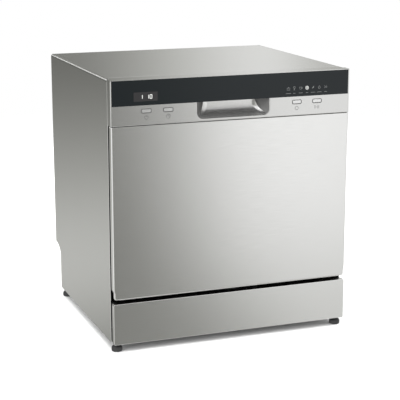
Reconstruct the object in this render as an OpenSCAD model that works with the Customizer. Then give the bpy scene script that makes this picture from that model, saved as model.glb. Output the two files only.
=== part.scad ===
// Countertop dishwasher with a drop-down door, two pull-out racks, two spray arms
// and a recessed handle under a black control fascia.
// Sizes are millimetres. X runs across the front, Y from the door to the back, Z up.
// The origin is on the worktop, under the middle of the machine.

/* [Casing] */
// Width over the side panels
casing_w = 550; // [548:1:556]
// Depth from the door's face to the rear edge of the side panels
casing_d = 500; // [500:1:510]
// Height from the worktop to the top panel
casing_h = 595; // [595:1:600]
// Height of the casing's lower edge above the worktop
foot_h = 19; // [18:1:20]
// Thickness of the sheet steel
skin = 1.2; // [1:0.1:1.3]
// Radius rolled along the top edges of the side panels
edge_r = 6; // [5:0.5:6]
// How far the lower rear steps in to make room for the hoses
rear_inset = 45; // [42:1:46]

/* [Door] */
// Height of the door's lower edge
door_bottom = 120; // [119:0.5:121]
// Height of the joint between the door panel and the console
seam_z = 498; // [497:0.5:499]
// Height of the fascia's lower edge
fascia_z = 540; // [539:0.5:541]
// Thickness of the door at its inner liner
door_t = 50; // [50:0.5:51]
// Width of the push buttons
button_w = 22; // [20:0.5:23]
// Height of the push buttons
button_h = 9; // [8:0.5:10]
// Width of the handle pocket
pocket_w = 167; // [160:1:170]
// Height of the handle pocket's floor
pocket_z = 503.7; // [503:0.1:505]

/* [Wash tub] */
// Outer width of the tub
tub_w = 504; // [504:1:506]
// Height of the tub's underside
tub_z = 150; // [149:0.5:151]
// Height of the tub's roof
tub_top = 562; // [561:0.5:563]
// Thickness of the tub's walls
tub_t = 1.5; // [1.5:0.1:1.8]
// Radius of the tub's long corners
tub_r = 30; // [28:1:32]

/* [Racks] */
// Thickness of the rack wires
wire = 3.6; // [3.2:0.1:4]
// Height of the lower rack's floor
lower_rack_z = 200; // [199:0.5:201]
// Height of the upper rack's floor
upper_rack_z = 364; // [363:0.5:366]
// Radius of the lower rack's wheels
wheel_r = 11.7; // [11.5:0.1:11.8]

/* [Spray system] */
// Length of the lower spray arm from its middle to its tip
lower_arm_r = 185; // [170:1:188]
// Length of the upper spray arm from its middle to its tip
upper_arm_r = 145; // [120:1:150]
// Radius of the heater's ring
heater_r = 160; // [155:1:162]

/* [Hidden] */
$fn = 48;

steel = [0.76, 0.77, 0.75];
black = [0.13, 0.14, 0.15];
plastic = [0.62, 0.63, 0.62];
stainless = [0.82, 0.83, 0.84];
rubber = [0.16, 0.16, 0.17];
rack_grey = [0.72, 0.74, 0.76];
white = [0.92, 0.92, 0.9];

// Casing
side = casing_w / 2;
front = -casing_d / 2;
back = casing_d / 2;
top = casing_h;
casing_front = front + 24;
panel_front = front + 44.5;
kick_top = door_bottom - 8;
step_low = 100;
step_high = 127;
rear_face = back - 2.2;
recess_face = rear_face - rear_inset;
foot_x = side - 12;
foot_front_y = front + 20;
foot_back_y = back - rear_inset - 15;

// Door hinge
pivot_y = front + 18;
pivot_z = door_bottom + 24;
liner_y = front + door_t;
liner_x = side - 13;
liner_top = tub_top + 9;
pin_r = 4;
running = 0.05;

// Console
console_back = front + 43;
console_side_back = front + 23;
cap_t = 1.4;
fascia_t = 2;
button_z = 528;
button_x = [-197, -148.5, 148.5, 197];
button_t = 7.4;
pocket_r = 14;
pocket_d = 30;
pocket_top = 560;
display_x = -198;
display_z = 558.2;
display_w = 53;
display_h = 19.6;
paddle_y = front + 22.2;
paddle_z = 553.5;
hook_y = front + 13;
hook_z = 583;
strike_z = 575;

// Tub and rails
tub_x = tub_w / 2;
tub_front = liner_y + 3;
tub_back = back - 35;
tub_in = tub_x - tub_t;
floor_z = tub_z + tub_t;
lip_z = 172;
runner_z = 184;
rail_z = 430;
roller_y = front + 74;
roller_r = 8.7;
flange_half = 9;

// Water side
hub_y = 9;
filter_x = 85;
filter_y = -75;
sump_z = 58;
pump_z = 80;
pump_y = 30;
wash_x = 100;
drain_x = -78;
inlet_x = -200;
outlet_x = -150;
gland_x = 200;
port_z = 62;
cord_r = 4;
chamber_x = side - 18.5;
dock_y = tub_back - tub_t - 22;
dock_z = 352;

// Dispenser
lid_z = 297;
lid_y = liner_y + 3.2;
cap_x = 50;
cap_z = 325;

// Racks
lower_x = 214;
lower_front = -134;
lower_back = 196;
upper_x = 212;
upper_front = -172;
upper_back = 182;
wheel_z = 196;
wheel_x = 235;
front_wheel_y = -96;
rear_wheel_y = 122;
tine_x = -50;
tine_z = lower_rack_z + 8;
tine_h = 64;
tine_ys = [-112:28:168];
shelf_x = -205;
shelf_z = 430;
weld = 0.1;

// A prism of a flat outline, drawn along one axis
module along_x(x0, x1) translate([x0, 0, 0]) rotate([90, 0, 90]) linear_extrude(x1 - x0) children();
module along_y(y0, y1) translate([0, y1, 0]) rotate([90, 0, 0]) linear_extrude(y1 - y0) children();
module along_z(z0, z1) translate([0, 0, z0]) linear_extrude(z1 - z0) children();

// A box between two corners
module block(low, high) translate(low) cube(high - low);

// The same piece at the left and the right
module both_sides() for (m = [0, 1]) mirror([m, 0, 0]) children();

// A round bar between two points on one axis
module bar_x(x0, x1, y, z, r) translate([x0, y, z]) rotate([0, 90, 0]) cylinder(h = x1 - x0, r = r);
module bar_y(y0, y1, x, z, r) translate([x, y1, z]) rotate([90, 0, 0]) cylinder(h = y1 - y0, r = r);
module bar_z(z0, z1, x, y, r) translate([x, y, z0]) cylinder(h = z1 - z0, r = r);

// A straight square wire along one axis
module wire_x(x0, x1, y, z, d = wire) block([x0, y - d / 2, z - d / 2], [x1, y + d / 2, z + d / 2]);
module wire_y(y0, y1, x, z, d = wire) block([x - d / 2, y0, z - d / 2], [x + d / 2, y1, z + d / 2]);
module wire_z(z0, z1, x, y, d = wire) block([x - d / 2, y - d / 2, z0], [x + d / 2, y + d / 2, z1]);

// Points along an arc, and round a rectangle with round corners
function arc(cx, cy, r, a0, a1, n = 6) =
    [for (i = [0:n]) [cx + r * cos(a0 + (a1 - a0) * i / n), cy + r * sin(a0 + (a1 - a0) * i / n)]];
function rounded(x0, y0, x1, y1, r, n = 6) = concat(
    arc(x1 - r, y1 - r, r, 0, 90, n), arc(x0 + r, y1 - r, r, 90, 180, n),
    arc(x0 + r, y0 + r, r, 180, 270, n), arc(x1 - r, y0 + r, r, 270, 360, n));

// The curve up the rear of the casing, a quarter of an ellipse from the inset foot to the full depth
function rear_curve(y_full, inset, dz = 0) = [
    for (i = [0:12]) let (a = 90 * i / 12)
        [y_full - inset * cos(a), step_low + (step_high - step_low) * sin(a) + dz]];

// Side panel with its rolled top edge, drawn at the left
module side_panel() {
    along_x(-side, -side + skin) polygon(concat(
        [[casing_front, foot_h], [back - rear_inset, foot_h]],
        rear_curve(back, rear_inset),
        [[back, top - edge_r], [casing_front, top - edge_r]]));
    along_y(casing_front, back) translate([-side + edge_r, top - edge_r]) intersection() {
        difference() {
            circle(r = edge_r);
            circle(r = edge_r - skin);
        }
        translate([-edge_r, 0]) square(edge_r);
    }
    block([-side, casing_front, pivot_z + 46], [-side + 9.4, casing_front + skin, top - edge_r - 1]);
    block([-side, casing_front + 6, foot_h], [-side + 2.6, back - rear_inset - 2, foot_h + skin]);
}

module left_side_panel() color(steel) side_panel();
module right_side_panel() color(steel) mirror([1, 0, 0]) side_panel();

// Flat top sheet between the rolled edges, with turned-down flanges
module top_panel() color(steel) {
    half = side - edge_r - 0.2;
    block([-half, panel_front, top - skin], [half, rear_face, top]);
    block([-half, panel_front, top - 12], [half, panel_front + skin, top]);
    block([-half, rear_face - skin - 1.3, top - 12], [half, rear_face - 1.3, top]);
    both_sides() block([-half, panel_front, top - 10], [-half + skin, rear_face - 1.3, top]);
}

// Rear sheet that follows the side panels' curve, with the three service holes
module rear_panel() color(steel) difference() {
    half = side - skin - 0.1;
    inner = rear_curve(rear_face - skin, rear_inset, skin);
    along_x(-half, half) polygon(concat(
        [[recess_face, foot_h + 4.2]], rear_curve(rear_face, rear_inset), [[rear_face, top - 1.4]],
        [[rear_face - skin, top - 1.4]], [for (i = [len(inner) - 1:-1:0]) inner[i]],
        [[recess_face - skin, foot_h + 4.2]]));
    bar_y(recess_face - 5, recess_face + 5, inlet_x, port_z, 14);
    bar_y(recess_face - 5, recess_face + 5, outlet_x, port_z, 10);
    bar_y(recess_face - 5, recess_face + 5, gland_x, port_z, 9.05);
}

// Moulded base that carries the pumps and the feet
module base_tray() color(black) {
    half = side - 2.6;
    wall = 2.4;
    y0 = front + 4;
    y1 = recess_face;
    difference() {
        union() {
            block([-half, y0, foot_h], [half, y1, foot_h + 3]);
            difference() {
                block([-half, y0, foot_h], [half, recess_face - skin - 0.1, 46]);
                block([-half + wall, y0 + wall, foot_h - 1], [half - wall, recess_face - skin - 3.1, 47]);
            }
            for (x = [-160:125:215]) block([x - 1.5, y0 + 2, foot_h], [x + 1.5, y1 - 4, 30]);
            for (sx = [-1, 1], y = [foot_front_y, foot_back_y]) bar_z(foot_h, 38, sx * (foot_x - 3), y, 9);
        }
        for (sx = [-1, 1], y = [foot_front_y, foot_back_y]) bar_z(foot_h - 1, 39, sx * foot_x, y, 5);
    }
}

// Plinth below the door, with returned edges
module kick_plate() color(steel) {
    along_y(front, front + skin) polygon(rounded(-side, foot_h, side, kick_top, 3, 4));
    both_sides() block([-side, front + 0.4, foot_h + 3], [-side + skin, front + 14, kick_top - 3]);
    block([-side + 3, front + 0.4, kick_top - skin], [side - 3, front + 20, kick_top]);
}

// Four screw feet with rounded rubber soles
module levelling_feet() color(rubber)
    for (sx = [-1, 1], y = [foot_front_y, foot_back_y]) translate([sx * foot_x, y, 0])
        rotate_extrude() polygon([[0, 0], [9.5, 0], [11.3, 0.9], [12, 2.6], [12, 8], [10.5, 11],
            [7, 13], [7, foot_h], [4.9, foot_h], [4.9, 36], [0, 36]]);

// Wash tub: a rounded shell, open at the front, with a flange round the mouth
module tub() color(stainless) difference() {
    union() {
        along_y(tub_front, tub_back) difference() {
            polygon(rounded(-tub_x, tub_z, tub_x, tub_top, tub_r));
            polygon(rounded(-tub_in, floor_z, tub_in, tub_top - tub_t, tub_r - tub_t));
        }
        along_y(tub_back - tub_t, tub_back) polygon(rounded(-tub_x, tub_z, tub_x, tub_top, tub_r));
        along_y(tub_front, tub_front + tub_t) difference() {
            polygon(rounded(-liner_x, tub_z, liner_x, tub_top + 11, tub_r));
            polygon(rounded(-tub_in, lip_z, tub_in, tub_top - tub_t, tub_r - tub_t));
        }
    }
    along_z(tub_z - 1, floor_z + 1) sump_mouth(0);
    bar_x(-tub_x - 1, -tub_in + 1, 40, 300, 17.2);
    for (a = heater_ends()) bar_z(tub_z - 1, floor_z + 1, heater_r * cos(a), hub_y + heater_r * sin(a), 5.6);
}

// Outline of the well in the tub's floor, grown by g
module sump_mouth(g) {
    translate([0, hub_y]) circle(r = 46 + g);
    translate([filter_x, filter_y]) circle(r = 42 + g);
    translate([0, hub_y]) rotate(atan2(filter_y - hub_y, filter_x))
        translate([0, -31 - g]) square([norm([filter_x, filter_y - hub_y]), 62 + 2 * g]);
}

// Soft seal round the sides and the top of the tub's mouth
module tub_gasket() color(rubber) intersection() {
    along_y(liner_y + 0.4, tub_front) difference() {
        polygon(rounded(-liner_x + 3, tub_z + 6, liner_x - 3, tub_top + 7, tub_r));
        polygon(rounded(-tub_in, tub_z + 14, tub_in, tub_top - tub_t, tub_r - tub_t));
    }
    block([-side, front, 176], [side, back, top]);
}

// Lip seal along the bottom of the door
module lower_door_seal() color(rubber) {
    block([-liner_x + 16, tub_front - 2.6, 161], [liner_x - 16, tub_front, 170]);
}

// Wall rails for the upper rack, with a fixed guide block behind each roller
module upper_rack_rails() color(plastic) both_sides() {
    block([-tub_in, -185, rail_z - 15], [-tub_in + 3, 205, rail_z + 15]);
    block([-tub_in + 2, -150, rail_z - 8.5], [-236, -132, rail_z + 8.5]);
    bar_x(-tub_in + 2, -236.2, roller_y, rail_z, 3);
}

// Ledges that the lower rack's wheels run on
module lower_rack_runners() color(plastic) both_sides() {
    block([-tub_in, -194, runner_z - 4], [-226, 206, runner_z]);
    block([-228.5, -194, runner_z - 10], [-226, 206, runner_z]);
}

// Moulded sump under the floor, with the post that the lower arm turns on
module sump() color(plastic) {
    difference() {
        along_z(sump_z, tub_z) sump_mouth(4);
        along_z(sump_z + 3, tub_z + 1) sump_mouth(0.5);
        bar_x(30, 70, pump_y, pump_z, 12);
        bar_x(-60, -30, 0, pump_z, 7);
        bar_x(-60, -30, 15, 125, 6);
    }
    bar_z(sump_z + 2, 166, 0, hub_y, 14);
    bar_z(165, 181.5, 0, hub_y, 10 - running);
}

// Lift-out filter cup with a lattice wall and a grip across its top
module coarse_filter() color(plastic) translate([filter_x, filter_y, 0]) {
    difference() {
        bar_z(104, 157, 0, 0, 36);
        bar_z(106, 158, 0, 0, 34);
        for (a = [0:45:135]) rotate(a) for (z = [110, 130]) block([-40, -9, z], [40, 9, z + 16]);
    }
    block([-35, -2, 150], [35, 2, 156]);
}

// Fine mesh plate that lies over the well
module filter_plate() color(stainless) along_z(floor_z + 0.1, floor_z + 1.6) difference() {
    polygon(rounded(-70, -132, 142, 76, 24));
    translate([0, hub_y]) circle(r = 15);
    translate([filter_x, filter_y]) circle(r = 37);
}

// Motor and volute of the circulation pump
module wash_pump() color(black) {
    difference() {
        bar_x(wash_x, wash_x + 26, pump_y, pump_z, 42);
        bar_x(wash_x + 3, wash_x + 23, pump_y, pump_z, 38);
        bar_x(wash_x - 1, wash_x + 4, pump_y, pump_z, 10);
    }
    difference() {
        bar_x(49.6, wash_x + 1, pump_y, pump_z, 13);
        bar_x(48, wash_x + 2, pump_y, pump_z, 10);
    }
    bar_x(wash_x + 26, wash_x + 110, pump_y, pump_z, 34);
    bar_x(wash_x + 8, wash_x + 25, pump_y, pump_z, pin_r);
    block([wash_x + 40, pump_y - 20, foot_h + 3], [wash_x + 90, pump_y + 20, pump_z - 25]);
}

// Wheel with straight vanes on the pump's shaft
module impeller(x, y, z, r, t) difference() {
    union() {
        bar_x(x, x + 2.5, y, z, r);
        bar_x(x, x + t, y, z, pin_r + 4);
        for (a = [0:60:300]) translate([x, y, z]) rotate([a, 0, 0]) block([1, pin_r + 2, -1], [t, r - 2, 1]);
    }
    bar_x(x - 1, x + t + 1, y, z, pin_r + running);
}

module wash_impeller() color(white) impeller(wash_x + 8, pump_y, pump_z, 35, 11);
module drain_impeller() color(white) impeller(drain_x - 20, 0, pump_z, 19, 8);

// Small pump that empties the sump
module drain_pump() color(black) {
    difference() {
        bar_x(drain_x - 22, drain_x, 0, pump_z, 26);
        bar_x(drain_x - 21, drain_x - 2, 0, pump_z, 22);
        bar_x(drain_x - 3, drain_x + 1, 0, pump_z, 6);
        bar_y(18, 30, drain_x - 11, pump_z, 5);
    }
    difference() {
        bar_x(drain_x - 1, -50.2, 0, pump_z, 8);
        bar_x(drain_x - 2, -49, 0, pump_z, 6);
    }
    bar_x(drain_x - 21.5, drain_x - 9, 0, pump_z, pin_r);
    block([drain_x - 72, -22, 58], [drain_x - 22, 22, 102]);
    block([drain_x - 60, -14, foot_h + 3], [drain_x - 34, 14, 58.5]);
}

// Angles at which the heater's ring ends and dives through the floor
function heater_ends() = [115, 395];

module heater() color(stainless) {
    ends = heater_ends();
    translate([0, hub_y, 163]) rotate([0, 0, ends[0]]) rotate_extrude(angle = ends[1] - ends[0])
        translate([heater_r, 0]) circle(r = 4.5);
    for (a = ends) bar_z(138, 168.5, heater_r * cos(a), hub_y + heater_r * sin(a), 5.2);
}

// Duct from the sump's post along the floor and up the rear wall
module spray_feed_pipe() color(plastic) {
    block([-12, hub_y + 14.5, floor_z + 2], [12, tub_back - tub_t, 163]);
    block([-12, tub_back - tub_t - 12, floor_z + 2], [12, tub_back - tub_t, dock_z]);
    difference() {
        bar_y(dock_y, dock_y + 16, 0, dock_z, 9);
        bar_y(dock_y - 1, dock_y + 10, 0, dock_z, 6);
    }
}

// Solenoid valve behind the water inlet
module inlet_valve() color(white) {
    block([inlet_x - 22, 158, 46], [inlet_x + 22, recess_face - skin - 3, 78]);
    bar_z(78, 88, inlet_x, 180, 9);
    bar_x(inlet_x + 22, inlet_x + 34, 178, port_z, 12);
}

// Threaded stub that the supply hose screws on to
module inlet_connector() color(plastic) difference() {
    union() {
        bar_y(recess_face - skin - 3, recess_face + 17, inlet_x, port_z, 13.22);
        bar_y(recess_face, recess_face + 2, inlet_x, port_z, 17);
    }
    bar_y(recess_face - 6, recess_face + 18, inlet_x, port_z, 8);
}

// Spigot that the waste hose pushes on to
module drain_connector() color(plastic) difference() {
    union() {
        bar_y(recess_face - 6, recess_face + 27, outlet_x, port_z, 9.5);
        bar_y(recess_face, recess_face + 2, outlet_x, port_z, 13);
    }
    bar_y(recess_face - 7, recess_face + 28, outlet_x, port_z, 7);
}

// Flat air-break chamber between the tub and the left side panel
module water_chamber() color(white) {
    block([-chamber_x - 14, -60, 190], [-chamber_x - 2, 140, 420]);
    for (i = [0:4]) block([-chamber_x - 2.5, -50 + 40 * i, 200], [-chamber_x - 0.5, -44 + 40 * i, 400]);
    difference() {
        bar_x(-chamber_x - 3, -tub_in + 8, 40, 300, 17);
        bar_x(-chamber_x - 1, -tub_in + 9, 40, 300, 13);
    }
    difference() {
        bar_x(-tub_in + 0.2, -tub_in + 4, 40, 300, 22);
        bar_x(-tub_in, -tub_in + 5, 40, 300, 16.8);
    }
}

// One hose through a list of points, with a square elbow at each turn
module hose(points, r) {
    last = len(points) - 1;
    setback = r + 0.6;
    for (i = [0:last - 1]) {
        span = points[i + 1] - points[i];
        way = span / norm(span);
        first = i > 0 ? setback : 0;
        length = norm(span) - first - (i < last - 1 ? setback : 0);
        translate(points[i] + first * way) rotate([0, acos(way.z), atan2(way.y, way.x)])
            cylinder(h = length, r = r);
    }
    for (i = [1:1:last - 1]) translate(points[i]) cube(2 * r + 2.4, center = true);
}

module inner_hoses() color(rubber) {
    riser_x = -chamber_x - 8;
    hose([[inlet_x, 180, 88], [inlet_x, 180, 122], [inlet_x, 232, 136], [inlet_x, 232, 300],
        [riser_x, 232, 300], [riser_x, 140, 300]], 6);
    hose([[riser_x, 60, 190], [riser_x, 60, 125], [-120, 25, 125], [-51, 15, 125]], 6);
    hose([[drain_x - 11, 26, pump_z], [drain_x - 11, 60, pump_z], [outlet_x, 120, port_z],
        [outlet_x, recess_face - 6, port_z]], 7);
}

// Grommet where a mains lead would leave
module cord_gland() color(rubber) difference() {
    union() {
        bar_y(recess_face - 8, recess_face + 12, gland_x, port_z, 9);
        bar_y(recess_face, recess_face + 3, gland_x, port_z, 12);
    }
    bar_y(recess_face - 9, recess_face + 13, gland_x, port_z, cord_r);
}

// Chassis plates that carry the door's pins
module hinge_brackets() color(steel) both_sides() {
    x0 = -liner_x - 7.5;
    along_x(x0, x0 + 3) polygon([[pivot_y - 9, pivot_z - 9], [pivot_y + 33, pivot_z - 12],
        [pivot_y + 33, 26], [pivot_y + 62, 26], [pivot_y + 62, pivot_z + 34], [pivot_y + 24, pivot_z + 34],
        [pivot_y - 9, pivot_z + 10]]);
    block([x0, pivot_y + 34, foot_h + 3], [-liner_x + 6, pivot_y + 62, 26.5]);
    bar_x(x0 + 2, -liner_x - 0.4, pivot_y, pivot_z, pin_r);
}

// Closed-coil springs that balance the door
module hinge_springs() color(steel) both_sides() {
    coils = 18;
    pitch = 3.4;
    translate([-liner_x + 6, pivot_y + 48, 36]) rotate_extrude() polygon(concat([[4.4, 0]],
        [for (i = [0:coils * 2]) [7.4 + (i % 2) * 1.1, i * pitch / 2]], [[4.4, coils * pitch]]));
}

// Catch plate on the tub's roof
module door_strike() color(steel) {
    block([-8, tub_front - 29, strike_z - 1.5], [8, tub_front + 9, strike_z + 1.5]);
    block([-8, tub_front + 6, tub_top], [8, tub_front + 9, strike_z]);
    block([-14, tub_front + 6, tub_top], [14, tub_front + 26, tub_top + 2]);
}

// Pan-head screws round the rear panel
module rear_screws() color(steel)
    for (x = [-230, 0, 230], z = [step_high + 22, top - 16]) {
        bar_y(rear_face, rear_face + 1.8, x, z, 4.2);
    }

// Arm with rounded paddles either side of a bored hub, drawn along X
module spray_arm(reach, z0, thick, bore) difference() {
    union() {
        along_z(z0, z0 + thick) {
            circle(r = 24);
            polygon(concat(arc(reach - 15, 0, 15, -90, 90, 8), arc(15 - reach, 0, 15, 90, 270, 8)));
        }
        bar_z(z0 - 2, z0 + thick + 4, 0, 0, 16);
    }
    bar_z(z0 - 3, z0 + thick + 1, 0, 0, bore);
}

module lower_spray_arm() color(plastic) translate([0, hub_y, 0]) spray_arm(lower_arm_r, 169, 12, 10);

// Grooveless rollers on the wall rails' front axles
module upper_rollers() color(white) both_sides() difference() {
    bar_x(-246.6, -237, roller_y, rail_z, roller_r);
    bar_x(-248, -236, roller_y, rail_z, 3 + running);
}

// Outer door skin: narrower below the hinge, where it swings inside the casing
module door_outer_panel() color(steel) {
    step_x = side - 1.8;
    step_z = pivot_z - 4;
    right = concat([[side, seam_z - 0.8], [side, step_z]],
        arc(step_x - 3, step_z - 4, 3, 30, 0, 2), arc(step_x - 5, door_bottom + 5, 5, 0, -90, 5));
    along_y(front, front + skin) polygon(concat(right,
        [for (i = [len(right) - 1:-1:0]) [-right[i][0], right[i][1]]]));
    both_sides() block([-side, front + 0.4, step_z], [-side + skin, front + 13, seam_z - 0.8]);
    block([-liner_x + 1.2, front + 0.4, seam_z - 2], [liner_x - 1.2, front + 14, seam_z - 0.8]);
}

// Inner door liner: a tray open towards the outer skin
module door_inner_liner() color(stainless) difference() {
    heel_y = pivot_y + 18;
    heel_z = pivot_z + 14;
    along_x(-liner_x, liner_x) polygon([[front + skin, door_bottom], [heel_y, door_bottom],
        [liner_y, heel_z], [liner_y, liner_top], [front + skin, liner_top]]);
    along_x(-liner_x + 1, liner_x - 1) polygon([[front, door_bottom + 1], [heel_y - 0.6, door_bottom + 1],
        [liner_y - 1, heel_z + 0.4], [liner_y - 1, top], [front, top]]);
    block([-side, front, seam_z - 4], [side, front + 4, top]);
    block([-71, liner_y - 5, 285], [91, liner_y + 5, 365]);
}

// Outline of the handle pocket, grown by g
function pocket_outline(g, z_top) = concat(
    [[pocket_w / 2 + g, z_top], [-pocket_w / 2 - g, z_top]],
    arc(-pocket_w / 2 + pocket_r, pocket_z + pocket_r, pocket_r + g, 180, 270),
    arc(pocket_w / 2 - pocket_r, pocket_z + pocket_r, pocket_r + g, 270, 360));

// Silver console shell: strip with the buttons, top cap, ends and rear wall
module console_housing() color(steel) difference() {
    cover_x = side - edge_r - 0.7;
    union() {
        block([-side, front, seam_z], [side, front + 2.4, fascia_z]);
        block([-side, front, top - cap_t], [side, console_side_back, top]);
        block([-cover_x, front, top - cap_t], [cover_x, console_back, top]);
        both_sides() block([-side, front + fascia_t + 0.2, seam_z], [-side + 2.4, console_side_back, top]);
        block([-cover_x, console_back - 2, liner_top + 0.6], [cover_x, console_back, top]);
    }
    along_y(front - 1, front + 4) polygon(pocket_outline(0, fascia_z + 1));
    for (x = button_x) along_y(front - 1, front + 4) translate([x, button_z])
        polygon(rounded(-button_w / 2 - 0.35, -button_h / 2 - 0.35, button_w / 2 + 0.35, button_h / 2 + 0.35, 3.4));
    block([-14, console_back - 4, strike_z - 7], [14, console_back + 1, strike_z + 8]);
}

// Gloss black control panel
module fascia() color(black) difference() {
    block([-side, front, fascia_z], [side, front + fascia_t, top - cap_t]);
    along_y(front - 1, front + 3) translate([display_x, display_z])
        polygon(rounded(-display_w / 2, -display_h / 2, display_w / 2, display_h / 2, 1.5, 3));
}

// Smoked window with its display module behind it
module display_window() color([0.2, 0.2, 0.21]) {
    along_y(front + 0.1, front + 9) translate([display_x, display_z])
        polygon(rounded(0.1 - display_w / 2, 0.1 - display_h / 2, display_w / 2 - 0.1, display_h / 2 - 0.1, 1.5, 3));
    block([display_x - 30, front + 4, display_z - 13], [display_x + 30, front + 13.8, display_z + 13]);
}

// Finger scoop: a shell behind the console strip, open at the front
module handle_pocket() color(steel) difference() {
    along_y(front + 0.3, front + pocket_d) polygon(pocket_outline(-0.1, pocket_top));
    along_y(front - 1, front + pocket_d - 2) polygon(pocket_outline(-2, pocket_top - 2));
    block([-side, front - 1, fascia_z - 0.1], [side, front + fascia_t + 0.6, top]);
}

// Circuit boards with the switches behind the buttons
module control_board() color([0.1, 0.32, 0.2]) {
    for (x = [[-242, -94], [102, 242]]) block([x[0], front + 14, 505], [x[1], front + 15.6, 588]);
    for (x = button_x) block([x - 5, front + 9.4, button_z - 5], [x + 5, front + 14.5, button_z + 5]);
    block([-140, front + 15, 545], [-105, front + 30, 575]);
    block([160, front + 15, 512], [200, front + 32, 540]);
}

// Steel arms that hang the door on its pins
module hinge_arms() color(steel) both_sides() difference() {
    along_x(-liner_x - 2.4, -liner_x) polygon(concat(
        arc(pivot_y, pivot_z, 11, 180, 360, 12), [[pivot_y + 9, pivot_z + 170], [pivot_y - 9, pivot_z + 170]]));
    bar_x(-liner_x - 5, -liner_x + 1, pivot_y, pivot_z, pin_r + running);
}

// Housing of the door lock, open towards the strike
module door_lock() color(black) {
    difference() {
        block([-26, front + 7, 562.5], [26, front + 38, 592]);
        block([-22, front + 9.4, 565], [22, front + 35, 589.6]);
        block([-12, front + 30, strike_z - 7], [12, front + 40, strike_z + 8]);
    }
    bar_x(-23, 23, hook_y, hook_z, 2);
}

// Hook that drops over the strike
module latch_hook() color(steel) difference() {
    union() {
        block([-5, hook_y - 2.6, hook_z - 3], [5, front + 34, hook_z + 3]);
        block([-5, front + 29, strike_z + 2.2], [5, front + 33, hook_z]);
    }
    bar_x(-6, 6, hook_y, hook_z, 2 + running);
}

// Finger lever inside the pocket that releases the lock
module release_paddle() color(black) {
    bar_x(-81, 81, paddle_y, paddle_z, 3.2);
    block([-55, paddle_y - 1.2, paddle_z - 12.5], [55, paddle_y + 1.3, paddle_z]);
}

// Push button with a plunger behind the strip
module button(x) translate([x, 0, button_z]) {
    along_y(front + 0.1, front + 3.6)
        polygon(rounded(-button_w / 2, -button_h / 2, button_w / 2, button_h / 2, 3.1));
    block([-3, front + 3, -2.5], [3, front + button_t, 2.5]);
}

module power_button() color(white) button(button_x[0]);
module delay_button() color(white) button(button_x[1]);
module program_button() color(white) button(button_x[2]);
module start_button() color(white) button(button_x[3]);

// Dispenser moulding in the liner, with the detergent cup and the rinse-aid tank
module dispenser_body() color(plastic) difference() {
    union() {
        along_y(liner_y, liner_y + 1.6) polygon(rounded(-76, 280, 96, 370, 8, 4));
        block([-69, liner_y - 36, 287], [89, liner_y + 0.5, 363]);
    }
    block([-62, liner_y - 30, lid_z + 3], [-6, liner_y + 3, 352]);
    bar_y(liner_y - 8, liner_y + 3, cap_x, cap_z, 12);
}

// Spring-up lid over the detergent cup
module detergent_lid() color(plastic) {
    block([-65, liner_y + 1.9, lid_z], [-3, liner_y + 4.6, lid_z + 58]);
    bar_x(-65, -3, lid_y, lid_z, 1.2);
    block([-40, liner_y + 4, lid_z + 44], [-28, liner_y + 6.4, lid_z + 54]);
}

// Screw cap of the rinse-aid tank
module rinse_aid_cap() color(black) {
    bar_y(liner_y + 2, liner_y + 6, cap_x, cap_z, 15);
    bar_y(liner_y - 5, liner_y + 3, cap_x, cap_z, 12 - running);
    block([cap_x - 12, liner_y + 5, cap_z - 2.5], [cap_x + 12, liner_y + 10, cap_z + 2.5]);
}

// Wire basket. Its floor and its four sides meet at spot welds, left as hair gaps
module basket(half, y0, y1, z, h, xs, ys) {
    lap = wire * 0.7;
    reach = wire / 2 + weld;
    for (x = xs) {
        wire_y(y0 + reach, y1 - reach, x, z);
        for (y = [y0, y1]) wire_z(z - wire / 2, z + h, x, y);
    }
    for (y = ys) {
        wire_x(-half + reach, half - reach, y, z + lap);
        for (sx = [-1, 1]) wire_z(z + lap - wire / 2, z + h, sx * half, y);
    }
    for (level = [z + h * 0.5, z + h]) {
        for (y = [y0 - lap, y1 + lap]) wire_x(-half - lap - wire / 2, half + lap + wire / 2, y, level);
        for (sx = [-1, 1]) wire_y(y0 - lap + reach, y1 + lap - reach, sx * (half + lap), level);
    }
}

// Row of upright tines on a rail that lies across the floor's wires
module tine_row(x, ys, y0, y1, z, h) {
    rail = z + wire * 1.7 + weld;
    wire_y(y0, y1, x, rail);
    for (y = ys) wire_z(rail, z + h, x, y, 3.2);
}

// Clip on a rack's wire with a bore for a hinge bar along Y
module clip(x, y, z, reach, r) difference() {
    block([min(x - 5, reach), y - 3, z - 5], [max(x + 5, reach), y + 3, z + 5]);
    bar_y(y - 4, y + 4, x, z, r);
}

module lower_rack() color(rack_grey) {
    wall = lower_x + wire / 2 + weld;
    basket(lower_x, lower_front, lower_back, lower_rack_z, 84, [-189:42:189], [-118:48:170]);
    for (x = [-150, 50]) tine_row(x, tine_ys, -120, 176, lower_rack_z, tine_h);
    for (y = [-124, 180]) {
        clip(tine_x, y, tine_z, tine_x - 5, 2.5 + running);
        block([tine_x - 16, y - 3, lower_rack_z + wire / 2 + weld], [tine_x + 7, y + 3, tine_z - 4]);
    }
    both_sides() for (y = [front_wheel_y, rear_wheel_y]) {
        block([-lower_x - 6, y - 8, wheel_z - 5], [-wall, y + 8, wheel_z + 14]);
        block([-lower_x - 6, y - 26, wheel_z + 3], [-wall, y - 7, wheel_z + 13]);
        bar_x(-wheel_x - 1, -lower_x - 5, y, wheel_z, 3);
    }
}

// A pair of rack wheels on one axis
module wheel_pair(y) both_sides() difference() {
    union() {
        bar_x(-wheel_x, -wheel_x + 7.6, y, wheel_z, wheel_r);
        bar_x(-wheel_x - 1, -wheel_x + 9.6, y, wheel_z, 6);
    }
    bar_x(-wheel_x - 3, -wheel_x + 11, y, wheel_z, 3 + running);
}

module lower_front_wheels() color(white) wheel_pair(front_wheel_y);
module lower_rear_wheels() color(white) wheel_pair(rear_wheel_y);

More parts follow.
